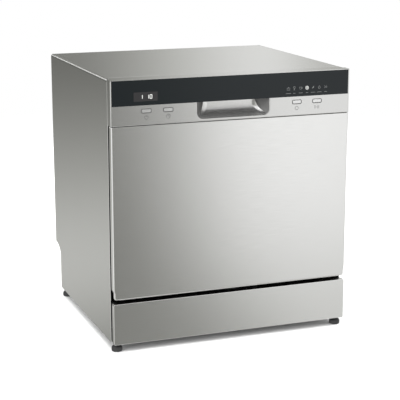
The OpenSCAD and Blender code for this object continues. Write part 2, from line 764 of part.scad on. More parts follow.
// Row of plate tines that folds flat towards the left
module folding_tines() color(rack_grey) {
    bar_y(-130, 186, tine_x, tine_z, 2.5);
    for (y = tine_ys) wire_z(tine_z, tine_z + tine_h - 6, tine_x, y, 3.2);
}

// Cutlery basket with three cells and slatted walls
module cutlery_basket() color(plastic) {
    x0 = 104;
    x1 = 200;
    y0 = -108;
    y1 = 60;
    z0 = lower_rack_z + 6;
    z1 = z0 + 88;
    pitch = (y1 - y0 - 2) / 3;
    difference() {
        block([x0, y0, z0], [x1, y1, z1]);
        for (y = [y0 + 2:pitch:y1 - pitch]) {
            block([x0 + 2, y, z0 + 2], [x1 - 2, y + pitch - 2, z1 + 1]);
            for (i = [0:3]) block([x0 - 1, y + 7 + i * 11.4, z0 + 8], [x1 + 1, y + 12 + i * 11.4, z0 + 66]);
        }
    }
    difference() {
        block([x0 + 46, y0 + 20, z1 - 20], [x0 + 50, y1 - 20, z1 + 16]);
        block([x0 + 45, y0 + 50, z1 - 4], [x0 + 51, y1 - 50, z1 + 9]);
    }
}

// Upper rack with the channels that run over the rollers
module upper_rack() color(rack_grey) {
    wall = upper_x - wire / 2 - weld;
    basket(upper_x, upper_front, upper_back, upper_rack_z, 100, [-180:45:180], [-150:50:150]);
    for (x = [-90, 90]) tine_row(x, [-130:36:158], -160, 170, upper_rack_z, 44);
    both_sides() {
        block([-235, -182, rail_z - flange_half], [-233, 188, rail_z + flange_half]);
        for (z = [rail_z - 11.5, rail_z + flange_half + weld])
            block([-246, -182, z], [-233, 188, z + 2.5 - weld]);
        for (y = [-100, 100]) wire_x(-233 + weld, -upper_x - wire / 2 - weld, y, rail_z - 4);
    }
    for (y = [-100, 100]) clip(shelf_x, y, shelf_z, -wall, 1.8 + running);
    for (x = [-45, 45]) block([x - 3, -20, upper_rack_z - 9 + weld], [x + 3, 20, upper_rack_z - wire / 2 - weld]);
}

// Duct under the upper rack that feeds its arm from the rear wall
module spray_manifold() color(plastic) {
    block([-12, hub_y - 16, 346], [12, dock_y - 12, 355]);
    block([-52, hub_y - 16, 350], [52, hub_y + 14, 355]);
    difference() {
        bar_y(dock_y - 13, dock_y - 0.5, 0, dock_z, 9);
        bar_y(dock_y - 11, dock_y, 0, dock_z, 6);
    }
    bar_z(341.5, 347, 0, hub_y, 12);
    bar_z(329.5, 342, 0, hub_y, 8 - running);
}

module upper_spray_arm() color(plastic) translate([0, hub_y, 343]) mirror([0, 0, 1])
    spray_arm(upper_arm_r, 4, 9, 8);

// Fold-down wire shelf for cups
module cup_shelf() color(rack_grey) {
    bar_y(-108, 108, shelf_x, shelf_z, 1.8);
    for (y = [-76:19:76]) wire_z(shelf_z, shelf_z + 78, shelf_x, y, 3);
    for (z = [shelf_z + 40, shelf_z + 76]) wire_y(-80, 80, shelf_x + 2.1, z, 3);
}

left_side_panel();
right_side_panel();
top_panel();
rear_panel();
base_tray();
kick_plate();
levelling_feet();
tub();
tub_gasket();
lower_door_seal();
upper_rack_rails();
lower_rack_runners();
sump();
coarse_filter();
filter_plate();
wash_pump();
drain_pump();
heater();
spray_feed_pipe();
inlet_valve();
inlet_connector();
drain_connector();
water_chamber();
inner_hoses();
cord_gland();
hinge_brackets();
hinge_springs();
door_strike();
rear_screws();
wash_impeller();
drain_impeller();
lower_spray_arm();
upper_rollers();
door_outer_panel();
door_inner_liner();
console_housing();
fascia();
handle_pocket();
display_window();
control_board();
hinge_arms();
door_lock();
dispenser_body();
latch_hook();
release_paddle();
power_button();
delay_button();
program_button();
start_button();
detergent_lid();
rinse_aid_cap();
lower_rack();
lower_front_wheels();
lower_rear_wheels();
folding_tines();
cutlery_basket();
upper_rack();
spray_manifold();
upper_spray_arm();
cup_shelf();
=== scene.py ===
# %% [markdown]
# A countertop dishwasher is a silver sheet-steel box on four feet. Its whole front, with the
# black fascia and the buttons, is a door that drops down, and two wire racks roll out over it.
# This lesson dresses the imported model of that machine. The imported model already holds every
# piece at its true size and place, so it is loaded first and never moved. Pieces whose shape is
# right only get a finish and softened edges. Pieces with bends, wires, prints or soft lips are
# modelled again in mesh code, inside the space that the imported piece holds.

# %% Load the frame
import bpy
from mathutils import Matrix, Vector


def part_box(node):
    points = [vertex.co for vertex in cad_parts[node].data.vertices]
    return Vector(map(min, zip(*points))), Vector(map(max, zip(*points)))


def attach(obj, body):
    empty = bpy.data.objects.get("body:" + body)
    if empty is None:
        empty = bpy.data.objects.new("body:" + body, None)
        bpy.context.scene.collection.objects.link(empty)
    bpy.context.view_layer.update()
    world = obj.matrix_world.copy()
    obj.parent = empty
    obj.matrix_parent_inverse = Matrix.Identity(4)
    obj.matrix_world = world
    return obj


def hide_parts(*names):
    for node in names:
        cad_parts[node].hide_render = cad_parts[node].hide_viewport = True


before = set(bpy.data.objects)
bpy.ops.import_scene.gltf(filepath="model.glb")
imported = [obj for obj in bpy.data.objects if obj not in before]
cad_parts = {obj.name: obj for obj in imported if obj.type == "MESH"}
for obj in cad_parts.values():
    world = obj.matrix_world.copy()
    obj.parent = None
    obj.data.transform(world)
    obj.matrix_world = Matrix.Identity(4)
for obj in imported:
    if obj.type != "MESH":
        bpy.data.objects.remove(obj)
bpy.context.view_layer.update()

# %% Tools
import math
import bpy
import bmesh
from mathutils import Matrix, Vector

MM = 0.001
scene = bpy.context.scene
scene.view_settings.view_transform = "Standard"


def corners(node):
    """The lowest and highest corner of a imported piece, in millimetres."""
    low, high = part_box(node)
    return low / MM, high / MM


door_low, door_high = corners("door_outer_panel")
kick_low, kick_high = corners("kick_plate")
side_low, side_high = corners("left_side_panel")
FRONT = door_low.y
HALF_WIDTH = -side_low.x
TOP = side_high.z
print("front", FRONT, "half width", HALF_WIDTH, "top", TOP)

# %% [markdown]
# The photo is taken from the left, a little above the machine, through a long lens. The camera's
# place was solved from the corners of the box. The lens isn't shifted, so that the other views
# stay centred, and the upright edges lean in by a few pixels where the photo has them parallel.

# %% Camera
CAMERA_PLACE = Vector((-1.003, -2.726, 0.958))
CAMERA_YAW = math.radians(20.5)
CAMERA_PITCH = math.radians(13.43)
LENS_MM = 113.3

lens = bpy.data.cameras.new("photo_camera")
lens.sensor_width = 36
lens.lens = LENS_MM
lens.clip_end = 60
camera = bpy.data.objects.new("photo_camera", lens)
scene.collection.objects.link(camera)
camera.location = CAMERA_PLACE
camera.rotation_euler = (math.pi / 2 - CAMERA_PITCH, 0, -CAMERA_YAW)
scene.camera = camera
print("camera", tuple(round(v, 3) for v in camera.location), "lens", lens.lens)

# %% [markdown]
# Node trees are easier to read when each node is one line. These helpers make a node, a sum, a
# smooth step and a curve through a few stops, and they serve the studio and the finishes alike.


# %% Node helpers
def feed(tree, target, value):
    """Puts a socket or a plain value into an input."""
    if isinstance(value, bpy.types.NodeSocket):
        tree.links.new(value, target)
    else:
        target.default_value = value


def add(tree, kind, inputs=(), **settings):
    """A new node with its settings, and its inputs given as (name or number, value) pairs."""
    made = tree.nodes.new(kind)
    for key, value in settings.items():
        setattr(made, key, value)
    for key, value in inputs:
        feed(tree, made.inputs[key], value)
    return made


def calc(tree, operation, *values):
    return add(tree, "ShaderNodeMath", enumerate(values), operation=operation).outputs[0]


def step(tree, value, start, end, low=0.0, high=1.0):
    """Runs smoothly from low to high while value goes from start to end."""
    return add(tree, "ShaderNodeMapRange", enumerate((value, start, end, low, high)),
               interpolation_type="SMOOTHSTEP").outputs[0]


def curve(tree, value, stops):
    """A curve through (value, height) stops, for values from -1 to 1."""
    made = add(tree, "ShaderNodeValToRGB", [(0, calc(tree, "MULTIPLY_ADD", value, 0.5, 0.5))])
    peak = max(height for _, height in stops)
    points = made.color_ramp.elements
    while len(points) < len(stops):
        points.new(0.5)
    for point, (place, height) in zip(points, stops):
        point.position = place * 0.5 + 0.5
        share = max(0, height / peak)
        point.color = (share, share, share, 1)
    made.color_ramp.interpolation = "B_SPLINE"
    return calc(tree, "MULTIPLY", made.outputs[0], peak)


def blend(tree, share, first, second, kind="FLOAT"):
    """First where share is 0, second where it is 1."""
    return add(tree, "ShaderNodeMix", (("Factor", share), ("A", first), ("B", second)),
               data_type=kind).outputs["Result"]


# %% [markdown]
# Bare metal shows what stands round it and little else, so a metal machine is lit by its
# surroundings. Each panel looks towards its own part of the room. The front looks forward and
# down, to a dark corner on the left that runs into a wide soft light on the right, and that makes
# its left-to-right gradient. The side looks back and down, the top looks back and level, and the
# rolled edges sweep over the strips at the far left and overhead. So the room is described in
# those parts, each as a smooth curve of brightness over the world's own direction, with a soft
# box for each rim that has to shine: one far left, one behind for the top edge, one in front.

# %% Studio surroundings
FRONT_ACROSS = [(-1.0, 0.8), (-0.4, 0.7), (-0.1, 0.5), (0.05, 0.25), (0.14, 0.04), (0.2, 0.0),
                (0.292, 0.0), (0.305, 0.12), (0.32, 0.28), (0.335, 0.46), (0.35, 0.72),
                (0.365, 0.92), (0.385, 1.0), (0.42, 0.94), (0.47, 0.8), (0.7, 0.72), (1.0, 0.72)]
FRONT_UP = [(-1.0, 0.5), (-0.37, 0.5), (-0.33, 0.53), (-0.305, 0.58), (-0.29, 0.68), (-0.27, 0.82),
            (-0.23, 0.98), (-0.17, 1.05), (0.1, 0.95), (1.0, 0.8)]
FRONT_DARK, FRONT_FOOT = 0.175, 0.235
SIDE_UP = [(-1.0, 0.30), (-0.37, 0.18), (-0.34, 0.28), (-0.315, 0.48), (-0.29, 0.63),
           (-0.26, 0.60), (-0.22, 0.44), (-0.17, 0.26), (-0.12, 0.13), (0.1, 0.12), (0.3, 0.35),
           (1.0, 0.5)]
TOP_ACROSS = [(-1.0, 0.5), (-0.5, 0.35), (0.2, 0.18), (0.26, 0.2), (0.30, 0.37), (0.34, 0.6),
              (0.38, 0.82), (0.405, 0.86), (0.43, 0.52), (0.47, 0.42), (0.6, 0.6), (1.0, 0.62)]
SHADE_TINT, WHITE = (1.0, 1.008, 0.92, 1), (1, 1, 1, 1)

world = bpy.data.worlds.new("studio")
scene.world = world
world.use_nodes = True
air = world.node_tree
air.nodes.clear()
direction = add(air, "ShaderNodeTexCoord").outputs["Generated"]
across, depth, upward = add(air, "ShaderNodeSeparateXYZ", [(0, direction)]).outputs


def product(first, *others):
    """All the sockets multiplied together."""
    for other in others:
        first = calc(air, "MULTIPLY", first, other)
    return first


lower_shift = step(air, upward, -0.345, -0.285, -0.045, 0.0)
leaning = calc(air, "ADD", across, lower_shift)
bright_side = product(curve(air, leaning, FRONT_ACROSS), curve(air, upward, FRONT_UP))
in_front = calc(air, "ADD", bright_side, step(air, upward, -0.34, -0.285, FRONT_FOOT, FRONT_DARK))
behind = blend(air, step(air, across, -0.10, 0.14), curve(air, upward, SIDE_UP),
                      curve(air, across, TOP_ACROSS))
glow = blend(air, step(air, depth, -0.25, 0.25), in_front, behind)
left_box = product(step(air, across, -0.55, -0.72), step(air, depth, 0.15, -0.25, 0.55, 1.12),
                   step(air, upward, 0.12, -0.02))
edge_box = product(step(air, across, -0.12, -0.16, 0.0, 1.9), step(air, across, -0.25, -0.19),
                   step(air, upward, 0.08, 0.14), step(air, upward, 0.36, 0.29),
                   step(air, depth, 0.8, 0.9))
front_box = product(step(air, upward, 0.45, 0.6, 0.0, 1.2), step(air, depth, -0.25, -0.45))
ceiling = step(air, upward, 0.42, 0.65, 0.0, 0.85)
ground = step(air, upward, -0.52, -0.80, 0.0, 0.85)
for light in (left_box, edge_box, front_box, ceiling, ground):
    glow = calc(air, "MAXIMUM", glow, light)

tint = blend(air, glow, SHADE_TINT, WHITE, "RGBA")
surround = add(air, "ShaderNodeBackground", (("Color", tint), ("Strength", glow)))
backdrop = add(air, "ShaderNodeBackground", [("Color", WHITE)])
from_camera = add(air, "ShaderNodeLightPath").outputs["Is Camera Ray"]
seen = add(air, "ShaderNodeMixShader",
           enumerate((from_camera, surround.outputs[0], backdrop.outputs[0])))
add(air, "ShaderNodeOutputWorld", [(0, seen.outputs[0])])
print("studio nodes", len(air.nodes))

# %% [markdown]
# The floor is a plain white disc. Four tall soft walls and a soft ceiling light only the floor,
# as an overcast sky would. They burn it out to white, and what is left is the narrow shadow that
# starts under the machine and fades out a hand's width in front of it, as in a catalogue.

# %% Floor
FLOOR_RADIUS = 3.0
floor_mesh = bpy.data.meshes.new("floor")
disc = bmesh.new()
bmesh.ops.create_circle(disc, cap_ends=True, segments=96, radius=FLOOR_RADIUS)
disc.to_mesh(floor_mesh)
disc.free()
floor = bpy.data.objects.new("floor", floor_mesh)
scene.collection.objects.link(floor)
floor.location.z = -0.0002
floor.visible_glossy = False
floor.visible_diffuse = False

chalk = bpy.data.materials.new("floor_white")
chalk.use_nodes = True
tree = chalk.node_tree
tree.nodes.clear()
matt = add(tree, "ShaderNodeBsdfDiffuse", [("Color", (0.9, 0.9, 0.9, 1))])
clear = add(tree, "ShaderNodeBsdfTransparent")
place = add(tree, "ShaderNodeTexCoord").outputs["Object"]
distance = add(tree, "ShaderNodeVectorMath", [(0, place)], operation="LENGTH").outputs["Value"]
fade = step(tree, distance, FLOOR_RADIUS * 0.45, FLOOR_RADIUS * 0.97)
mixed = add(tree, "ShaderNodeMixShader", enumerate((fade, matt.outputs[0], clear.outputs[0])))
add(tree, "ShaderNodeOutputMaterial", [(0, mixed.outputs[0])])
floor_mesh.materials.append(chalk)


# %% Lamps
def soft_lamp(name, place, aim, size, power, only=None):
    """A soft box of (width, height) that faces a point, and may be kept to one collection."""
    light = bpy.data.lights.new(name, "AREA")
    light.shape = "RECTANGLE"
    light.size, light.size_y = size
    light.energy = power
    lamp = bpy.data.objects.new(name, light)
    scene.collection.objects.link(lamp)
    lamp.location = place
    lamp.rotation_euler = (Vector(aim) - Vector(place)).to_track_quat("-Z", "Y").to_euler()
    lamp.visible_glossy = False
    lamp.visible_camera = False
    if only:
        lamp.light_linking.receiver_collection = only
    return lamp


floor_only = bpy.data.collections.new("floor_only")
floor_only.objects.link(floor)
WALL_AWAY, WALL_HIGH, WALL_POWER = 3.2, 3.0, 60
for name, x, y in (("front", 0, -1), ("left", -1, 0), ("rear", 0, 1), ("right", 1, 0)):
    soft_lamp(name + "_wall", (x * WALL_AWAY, y * WALL_AWAY, WALL_HIGH / 2), (0, 0, WALL_HIGH / 2),
              (6.4, WALL_HIGH), WALL_POWER, floor_only)
soft_lamp("floor_ceiling", (0, 0, 3.2), (0, 0, 0), (6.4, 6.4), 120, floor_only)
soft_lamp("overhead_box", (-0.5, -1.3, 2.5), (0, 0, 0.3), (1.4, 1.4), 30)
soft_lamp("left_fill", (-2.6, -1.6, 1.3), (0, 0, 0.3), (1.6, 1.6), 20)
soft_lamp("back_fill", (1.6, 2.6, 1.8), (0, 0, 0.3), (1.8, 1.8), 26)
print("lamps", len(bpy.data.lights))

# %% [markdown]
# A finish is one Principled shader with three small disturbances: a slow drift of its colour, a
# fine one of its roughness, and a shallow relief. Stretching the noise along one axis turns it
# into brushed grain, and leaving it round gives enamel, moulded plastic or rubber.


# %% Finish maker
def finish(name, colour, rough, metal=0.0, grain=900, relief=0.02, drift=0.03, spread=0.04,
           coat=0.0, glow=0.0, specular=0.5):
    """One material; grain is waves per metre, as one number or as one along each axis."""
    made = bpy.data.materials.new(name)
    made.use_nodes = True
    tree = made.node_tree
    place = add(tree, "ShaderNodeTexCoord").outputs["Object"]
    waves = grain if isinstance(grain, tuple) else [grain] * 3
    stretched = add(tree, "ShaderNodeMapping", [(0, place), ("Scale", waves)]).outputs[0]

    def noise(vector, scale, detail):
        inputs = ("Vector", vector), ("Scale", scale), ("Detail", detail)
        return add(tree, "ShaderNodeTexNoise", inputs).outputs["Fac"]

    fine, slow = noise(stretched, 1.0, 3.0), noise(place, 7.0, 2.0)
    darker = (*[c * (1 - drift) for c in colour], 1)
    lighter = (*[min(1, c * (1 + drift)) for c in colour], 1)
    tone = blend(tree, slow, darker, lighter, "RGBA")
    smoothest, roughest = max(0.02, rough - spread), rough + spread
    shine = add(tree, "ShaderNodeMapRange", enumerate((fine, 0.3, 0.7, smoothest, roughest)))
    sockets = [("Base Color", tone), ("Roughness", shine.outputs[0]), ("Metallic", metal),
               ("Specular IOR Level", specular), ("Coat Weight", coat), ("Coat Roughness", 0.05)]
    if relief:
        bump = add(tree, "ShaderNodeBump",
                   (("Strength", relief), ("Distance", 0.0004), ("Height", fine)))
        sockets.append(("Normal", bump.outputs[0]))
    if glow:
        sockets += [("Emission Color", (*colour, 1)), ("Emission Strength", glow)]
    for socket, value in sockets:
        feed(tree, tree.nodes["Principled BSDF"].inputs[socket], value)
    return made


# %% Finishes
silver_enamel = finish("silver_enamel", (0.80, 0.80, 0.79), 0.22, metal=1, grain=2600, relief=0.05,
                       drift=0.012)
brushed_front = finish("brushed_front", (0.81, 0.81, 0.80), 0.16, metal=1, grain=(26, 400, 3400),
                       relief=0.025, drift=0.01)
console_lacquer = finish("console_lacquer", (0.71, 0.71, 0.70), 0.18, metal=1, grain=2400,
                         relief=0.03, drift=0.01)
gloss_black = finish("gloss_black", (0.0122, 0.0158, 0.0178), 0.16, grain=300, relief=0.0,
                     drift=0.05, spread=0.03, specular=0.28)
smoked_window = finish("smoked_window", (0.038, 0.037, 0.039), 0.16, grain=300, relief=0.0,
                       spread=0.02, specular=0.3)
lit_white = finish("lit_white", (0.85, 0.86, 0.84), 0.4, relief=0.0, glow=0.22)
dim_print = finish("dim_print", (0.25, 0.26, 0.26), 0.5, relief=0.0)
# This dark grey is real print on the key marks, and painted shade on the rings round the keys.
dark_print_and_shade = finish("dark_print_and_shade", (0.10, 0.10, 0.10), 0.55, relief=0.0)
pocket_grey = finish("pocket_grey", (0.88, 0.88, 0.87), 0.2, metal=0.88, grain=2400, relief=0.03,
                     drift=0.01)
# The pocket's cheeks get this dark matt grey as painted shade.
pocket_cheek_shade = finish("pocket_cheek_shade", (0.17, 0.17, 0.168), 0.4, grain=2400, relief=0.03)
key_silver = finish("key_silver", (0.86, 0.86, 0.86), 0.22, metal=1, grain=1800, relief=0.02)
# This matt black is painted shade, laid on returns, gaps, the pocket's roof and the jet slots,
# where the real machine shows only shade.
painted_shade_black = finish("painted_shade_black", (0.008, 0.008, 0.008), 0.85, relief=0.1, specular=0.1)
stainless = finish("stainless", (0.80, 0.80, 0.79), 0.33, metal=1, grain=(60, 60, 900),
                   relief=0.006, drift=0.03, spread=0.03)
zinc = finish("zinc_plate", (0.62, 0.63, 0.64), 0.36, metal=1, grain=500, relief=0.08, drift=0.04)
nylon_wire = finish("nylon_wire", (0.42, 0.44, 0.47), 0.34, grain=700, relief=0.05, coat=0.15)
grey_plastic = finish("grey_plastic", (0.33, 0.35, 0.37), 0.42, grain=1500, relief=0.12)
pale_plastic = finish("pale_plastic", (0.78, 0.78, 0.76), 0.38, grain=1500, relief=0.08)
black_plastic = finish("black_plastic", (0.022, 0.022, 0.024), 0.45, grain=1300, relief=0.14)
blue_plastic = finish("blue_plastic", (0.07, 0.17, 0.36), 0.36, grain=1500, relief=0.06)
soft_rubber = finish("soft_rubber", (0.035, 0.035, 0.037), 0.6, grain=1000, relief=0.12)
hard_rubber = finish("hard_rubber", (0.05, 0.05, 0.052), 0.55, grain=900, relief=0.2)
board_green = finish("board_green", (0.03, 0.16, 0.08), 0.35, grain=260, relief=0.15, drift=0.3)
print("finishes", len(bpy.data.materials))

# %% [markdown]
# Most pieces are sheets with rounded rims, turned parts, or wires. Three builders cover them:
# loft joins closed rings, turn spins a profile about an axis, and sweep drags a section along a
# path. All work in millimetres, and new_piece brings the result to metres and to its body.


# %% Mesh builders
def arc(radius, start, end, steps=14, cx=0.0, cz=0.0):
    """Points along an arc, from one angle to another in degrees."""
    return [(cx + radius * math.cos(math.radians(start + (end - start) * i / steps)),
             cz + radius * math.sin(math.radians(start + (end - start) * i / steps)))
            for i in range(steps + 1)]


def quarter(steps):
    """The cosine and sine at even steps over a quarter turn."""
    angles = [math.radians(90 * i / steps) for i in range(steps + 1)]
    return [(math.cos(a), math.sin(a)) for a in angles]


def loft(bm, rings, first_cap=True, last_cap=True, closed=False, slot_index=0):
    made = [[bm.verts.new(p) for p in ring] for ring in rings]
    pairs = list(zip(made, made[1:])) + ([(made[-1], made[0])] if closed else [])
    faces = []
    for one, two in pairs:
        for i in range(len(one)):
            j = (i + 1) % len(one)
            faces.append(bm.faces.new((one[i], one[j], two[j], two[i])))
    if not closed and first_cap:
        faces.append(bm.faces.new(list(reversed(made[0]))))
    if not closed and last_cap:
        faces.append(bm.faces.new(made[-1]))
    for face in faces:
        face.material_index = slot_index
    return faces


def turn(bm, profile, centre, axis, sides=32, slot_index=0):
    """Spins (radius, height) points about an axis through centre; a radius of 0 closes the end."""
    axis = Vector(axis).normalized()
    one = axis.orthogonal().normalized()
    two = axis.cross(one)
    spokes = [2 * math.pi * i / sides for i in range(sides)]
    rings = []
    for radius, height in profile:
        spot = Vector(centre) + axis * height
        radius = max(radius, 0.001)
        rings.append([spot + radius * (one * math.cos(a) + two * math.sin(a)) for a in spokes])
    return loft(bm, rings, slot_index=slot_index)


def sweep(bm, path, section, normal, closed=False, slot_index=0):
    """Drags a section of (along normal, sideways) points along a path."""
    path = [Vector(p) for p in path]
    last = len(path) - 1
    normal = Vector(normal).normalized()
    rings = []
    for i, point in enumerate(path):
        ahead = path[(i + 1) % len(path)] if closed or i < last else point
        behind = path[i - 1] if closed or i > 0 else point
        along = (ahead - behind).normalized()
        normal = (normal - along * normal.dot(along)).normalized()
        aside = along.cross(normal)
        rings.append([point + normal * u + aside * v for u, v in section])
    return loft(bm, rings, closed=closed, slot_index=slot_index)


def circle(radius, sides=8):
    turns = [2 * math.pi * i / sides for i in range(sides)]
    return [(radius * math.cos(a), radius * math.sin(a)) for a in turns]


def bent(points, radius, steps=4, closed=False):
    """The same path with every corner bent to about this radius."""
    points = [Vector(p) for p in points]
    count = len(points)
    result = []
    for i, point in enumerate(points):
        if not closed and i in (0, count - 1):
            result.append(point)
            continue
        back = points[i - 1] - point
        on = points[(i + 1) % count] - point
        reach = min(radius, back.length * 0.49, on.length * 0.49)
        start = point + back.normalized() * reach
        end = point + on.normalized() * reach
        for k in range(steps + 1):
            t = k / steps
            result.append(start * (1 - t) ** 2 + point * 2 * t * (1 - t) + end * t ** 2)
    return result


def box(bm, low, high, slot_index=0):
    x0, y0, z0 = low
    x1, y1, z1 = high
    bottom = [(x0, y0, z0), (x1, y0, z0), (x1, y1, z0), (x0, y1, z0)]
    top = [(x, y, z1) for x, y, _ in bottom]
    return loft(bm, [bottom, top], slot_index=slot_index)


def rounded_outline(x0, x1, z0, z1, radius, steps=6):
    """A rectangle with round corners, anticlockwise from the lower right, as (across, up)."""
    result = []
    for cx, cz, start in ((x1 - radius, z0 + radius, -90), (x1 - radius, z1 - radius, 0),
                          (x0 + radius, z1 - radius, 90), (x0 + radius, z0 + radius, 180)):
        for i in range(steps + 1):
            a = math.radians(start + 90 * i / steps)
            result.append((cx + radius * math.cos(a), cz + radius * math.sin(a)))
    return result


def soften_edges(piece, width):
    """Rounds the sharp edges in two steps."""
    rim = piece.modifiers.new("soft_edges", "BEVEL")
    rim.width = width * MM
    rim.segments = 2
    rim.limit_method = "ANGLE"
    rim.angle_limit = math.radians(35)


def new_piece(name, build, finishes, body, replaces=(), soften=0.0, sharp=32, wall=0.0):
    """Builds one piece and hangs it on its body; an open skin gets a wall, outwards if above 0."""
    bm = bmesh.new()
    build(bm)
    bmesh.ops.recalc_face_normals(bm, faces=bm.faces)
    bmesh.ops.scale(bm, vec=(MM, MM, MM), verts=bm.verts)
    mesh = bpy.data.meshes.new(name)
    bm.to_mesh(mesh)
    bm.free()
    mesh.shade_smooth()
    mesh.set_sharp_from_angle(angle=math.radians(sharp))
    piece = bpy.data.objects.new(name, mesh)
    scene.collection.objects.link(piece)
    for material in finishes if isinstance(finishes, (list, tuple)) else [finishes]:
        mesh.materials.append(material)
    if wall:
        shell = piece.modifiers.new("wall", "SOLIDIFY")
        shell.thickness = abs(wall) * MM
        shell.offset = 1 if wall > 0 else -1
    if soften:
        soften_edges(piece, soften)
    even = piece.modifiers.new("even_normals", "WEIGHTED_NORMAL")
    even.weight = 100
    even.keep_sharp = True
    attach(piece, body)
    if replaces:
        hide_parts(*replaces)
    print("made", name, "faces", len(mesh.polygons))
    return piece


# %% [markdown]
# The door's skin is one pressed sheet. Its rim is rolled back in a soft radius, which catches a
# near-white line at the left and along the lower edge. A chain of shrinking outlines makes the
# roll: full size at the back, and smaller by a quarter-circle's sine as it comes to the front.

# %% Door skin
ROLL = 3.4
ROLL_STEPS = 6
TOP_SHARE = 0.2          # the top edge is rolled more tightly than the sides
SKIN_FRONT = FRONT + 0.02
STEP_HALF = HALF_WIDTH - 1.8
STEP_Z = door_low.z + 20


def door_outline(inset):
    """The door's outline from the lower right corner round to the lower left."""
    corner = 6 - inset
    right = []
    for i in range(7):
        a = math.radians(-90 + 15 * i)
        right.append((STEP_HALF - inset - corner + corner * math.cos(a),
                      door_low.z + inset + corner + corner * math.sin(a)))
    edge = door_high.z - inset * TOP_SHARE
    right += [(STEP_HALF - inset, STEP_Z - 5), (STEP_HALF - inset + 0.6, STEP_Z - 2),
              (HALF_WIDTH - inset - 0.4, STEP_Z - 0.4), (HALF_WIDTH - inset, STEP_Z + 2),
              (HALF_WIDTH - inset, edge - 1), (HALF_WIDTH - inset - 1, edge)]
    return right + [(-x, z) for x, z in reversed(right)]


def build_door(bm):
    def ring(inset, y, side_y=None):
        deep = y if side_y is None else side_y
        return [(x, deep if abs(x) > HALF_WIDTH - 0.1 and z > STEP_Z else y, z)
                for x, z in door_outline(inset)]

    rings = [ring(0, FRONT + 6, FRONT + 13)]
    rings += [ring(ROLL * (1 - c), SKIN_FRONT + ROLL * (1 - s)) for c, s in quarter(ROLL_STEPS)]
    loft(bm, rings, first_cap=False)


new_piece("door_skin", build_door, brushed_front, "door", ["door_outer_panel"])


# %% [markdown]
# The kick plate is pressed the same way with a tighter rim. Its inner returns are bare and lie in
# shadow on the real machine, so they are painted black as painted shade, and the slot under the
# door reads black.

# %% Kick plate
KICK_ROLL = 1.1
KICK_TOP = kick_high.z - 0.9


def build_kick(bm):
    def ring(inset, y):
        outline = rounded_outline(kick_low.x + inset, kick_high.x - inset, kick_low.z + inset,
                                  KICK_TOP - inset, 3.2 - inset)
        return [(x, y, z) for x, z in outline]

    rings = [ring(0.02, FRONT + 12)]
    rings += [ring(KICK_ROLL * (1 - c), SKIN_FRONT + KICK_ROLL * (1 - s)) for c, s in quarter(4)]
    loft(bm, rings, first_cap=False)
    # The top return's black is painted shade for the slot under the door.
    box(bm, (kick_low.x + 4, FRONT + 3, KICK_TOP - 1.4),
        (kick_high.x - 4, FRONT + 20, KICK_TOP - 0.2), 1)


new_piece("kick_plate_skin", build_kick, [brushed_front, painted_shade_black], "cabinet",
          ["kick_plate"])


# %% [markdown]
# Each side panel is one sheet. Its top edge is rolled over to meet the top panel, and that roll
# is the white line between the side and the top in the photo. At the lower rear the sheet steps
# in along a quarter of an ellipse to make room for the hoses. It is lofted from front to back,
# and each section starts at the height where the sheet's lower edge is at that depth.

# %% Side panels
SHEET = 1.2
EDGE_RADIUS = 6
STEP_LOW, STEP_HIGH = 100, 127
REAR_INSET = 45
FRONT_ROLL = 0.7


def side_section(side, y, z_low, inset=0.0):
    """One closed section of the panel: up the outside, over the roll and down the inside."""
    outer = [(HALF_WIDTH - inset, z_low), (HALF_WIDTH - inset, TOP - EDGE_RADIUS)]
    inner = [(HALF_WIDTH - SHEET, z_low), (HALF_WIDTH - SHEET, TOP - EDGE_RADIUS)]
    for c, s in quarter(8)[1:]:
        for line, radius in ((outer, EDGE_RADIUS - inset), (inner, EDGE_RADIUS - SHEET)):
            line.append((HALF_WIDTH - EDGE_RADIUS + radius * c, TOP - EDGE_RADIUS + radius * s))
    return [(side * x, y, z) for x, z in outer + inner[::-1]]


def build_side(side):
    def build(bm):
        y_front, y_back = side_low.y, side_high.y
        sections = [side_section(side, y_front + FRONT_ROLL * (1 - c), side_low.z,
                                 FRONT_ROLL * (1 - s)) for c, s in quarter(4)]
        sections.append(side_section(side, y_back - REAR_INSET, side_low.z))
        for c, s in quarter(16):
            y = min(y_back - REAR_INSET * c + 0.01, y_back)
            sections.append(side_section(side, y, STEP_LOW + (STEP_HIGH - STEP_LOW) * s))
        loft(bm, sections)
        # A black strip on each front flange is painted shade: it darkens the gap between the door
        # and the side panel.
        x0, x1 = sorted((side * (HALF_WIDTH - 0.6), side * (HALF_WIDTH - 9.4)))
        box(bm, (x0, y_front + 0.3, 190), (x1, y_front + 1.4, TOP - 7), 1)
    return build


for side, node in ((-1, "left_side_panel"), (1, "right_side_panel")):
    new_piece(node + "_sheet", build_side(side), [silver_enamel, painted_shade_black], "cabinet",
              [node], soften=0.35)


# %% [markdown]
# The console and the fascia are moulded covers with cut-outs for the keys, the pocket and the
# display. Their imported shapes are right, but prints must lie on them without standing out of the
# machine's box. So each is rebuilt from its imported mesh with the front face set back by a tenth
# of a millimetre and flat faces joined again. The pocket's cut-out gets a wide soft rim, which
# shows as a light line round the pocket. The ends get a round corner that runs up beside the
# glass, and it shows as a light upright line. A thin lip closes the step behind the door's liner.

# %% Console and fascia
PRINT_DEPTH = 0.1
FASCIA_HALF = 272.2
END_RADIUS = 1.9
POCKET_HALF = 83.5
POCKET_RIM = 1.8
LIP_X, LIP_Y, LIP_Z = (15, 262), (-208.6, -200.3), (571.05, 571.55)
strip_low = corners("console_housing")[0]
fascia_low, fascia_high = corners("fascia")
INK_FRONT = FRONT + PRINT_DEPTH


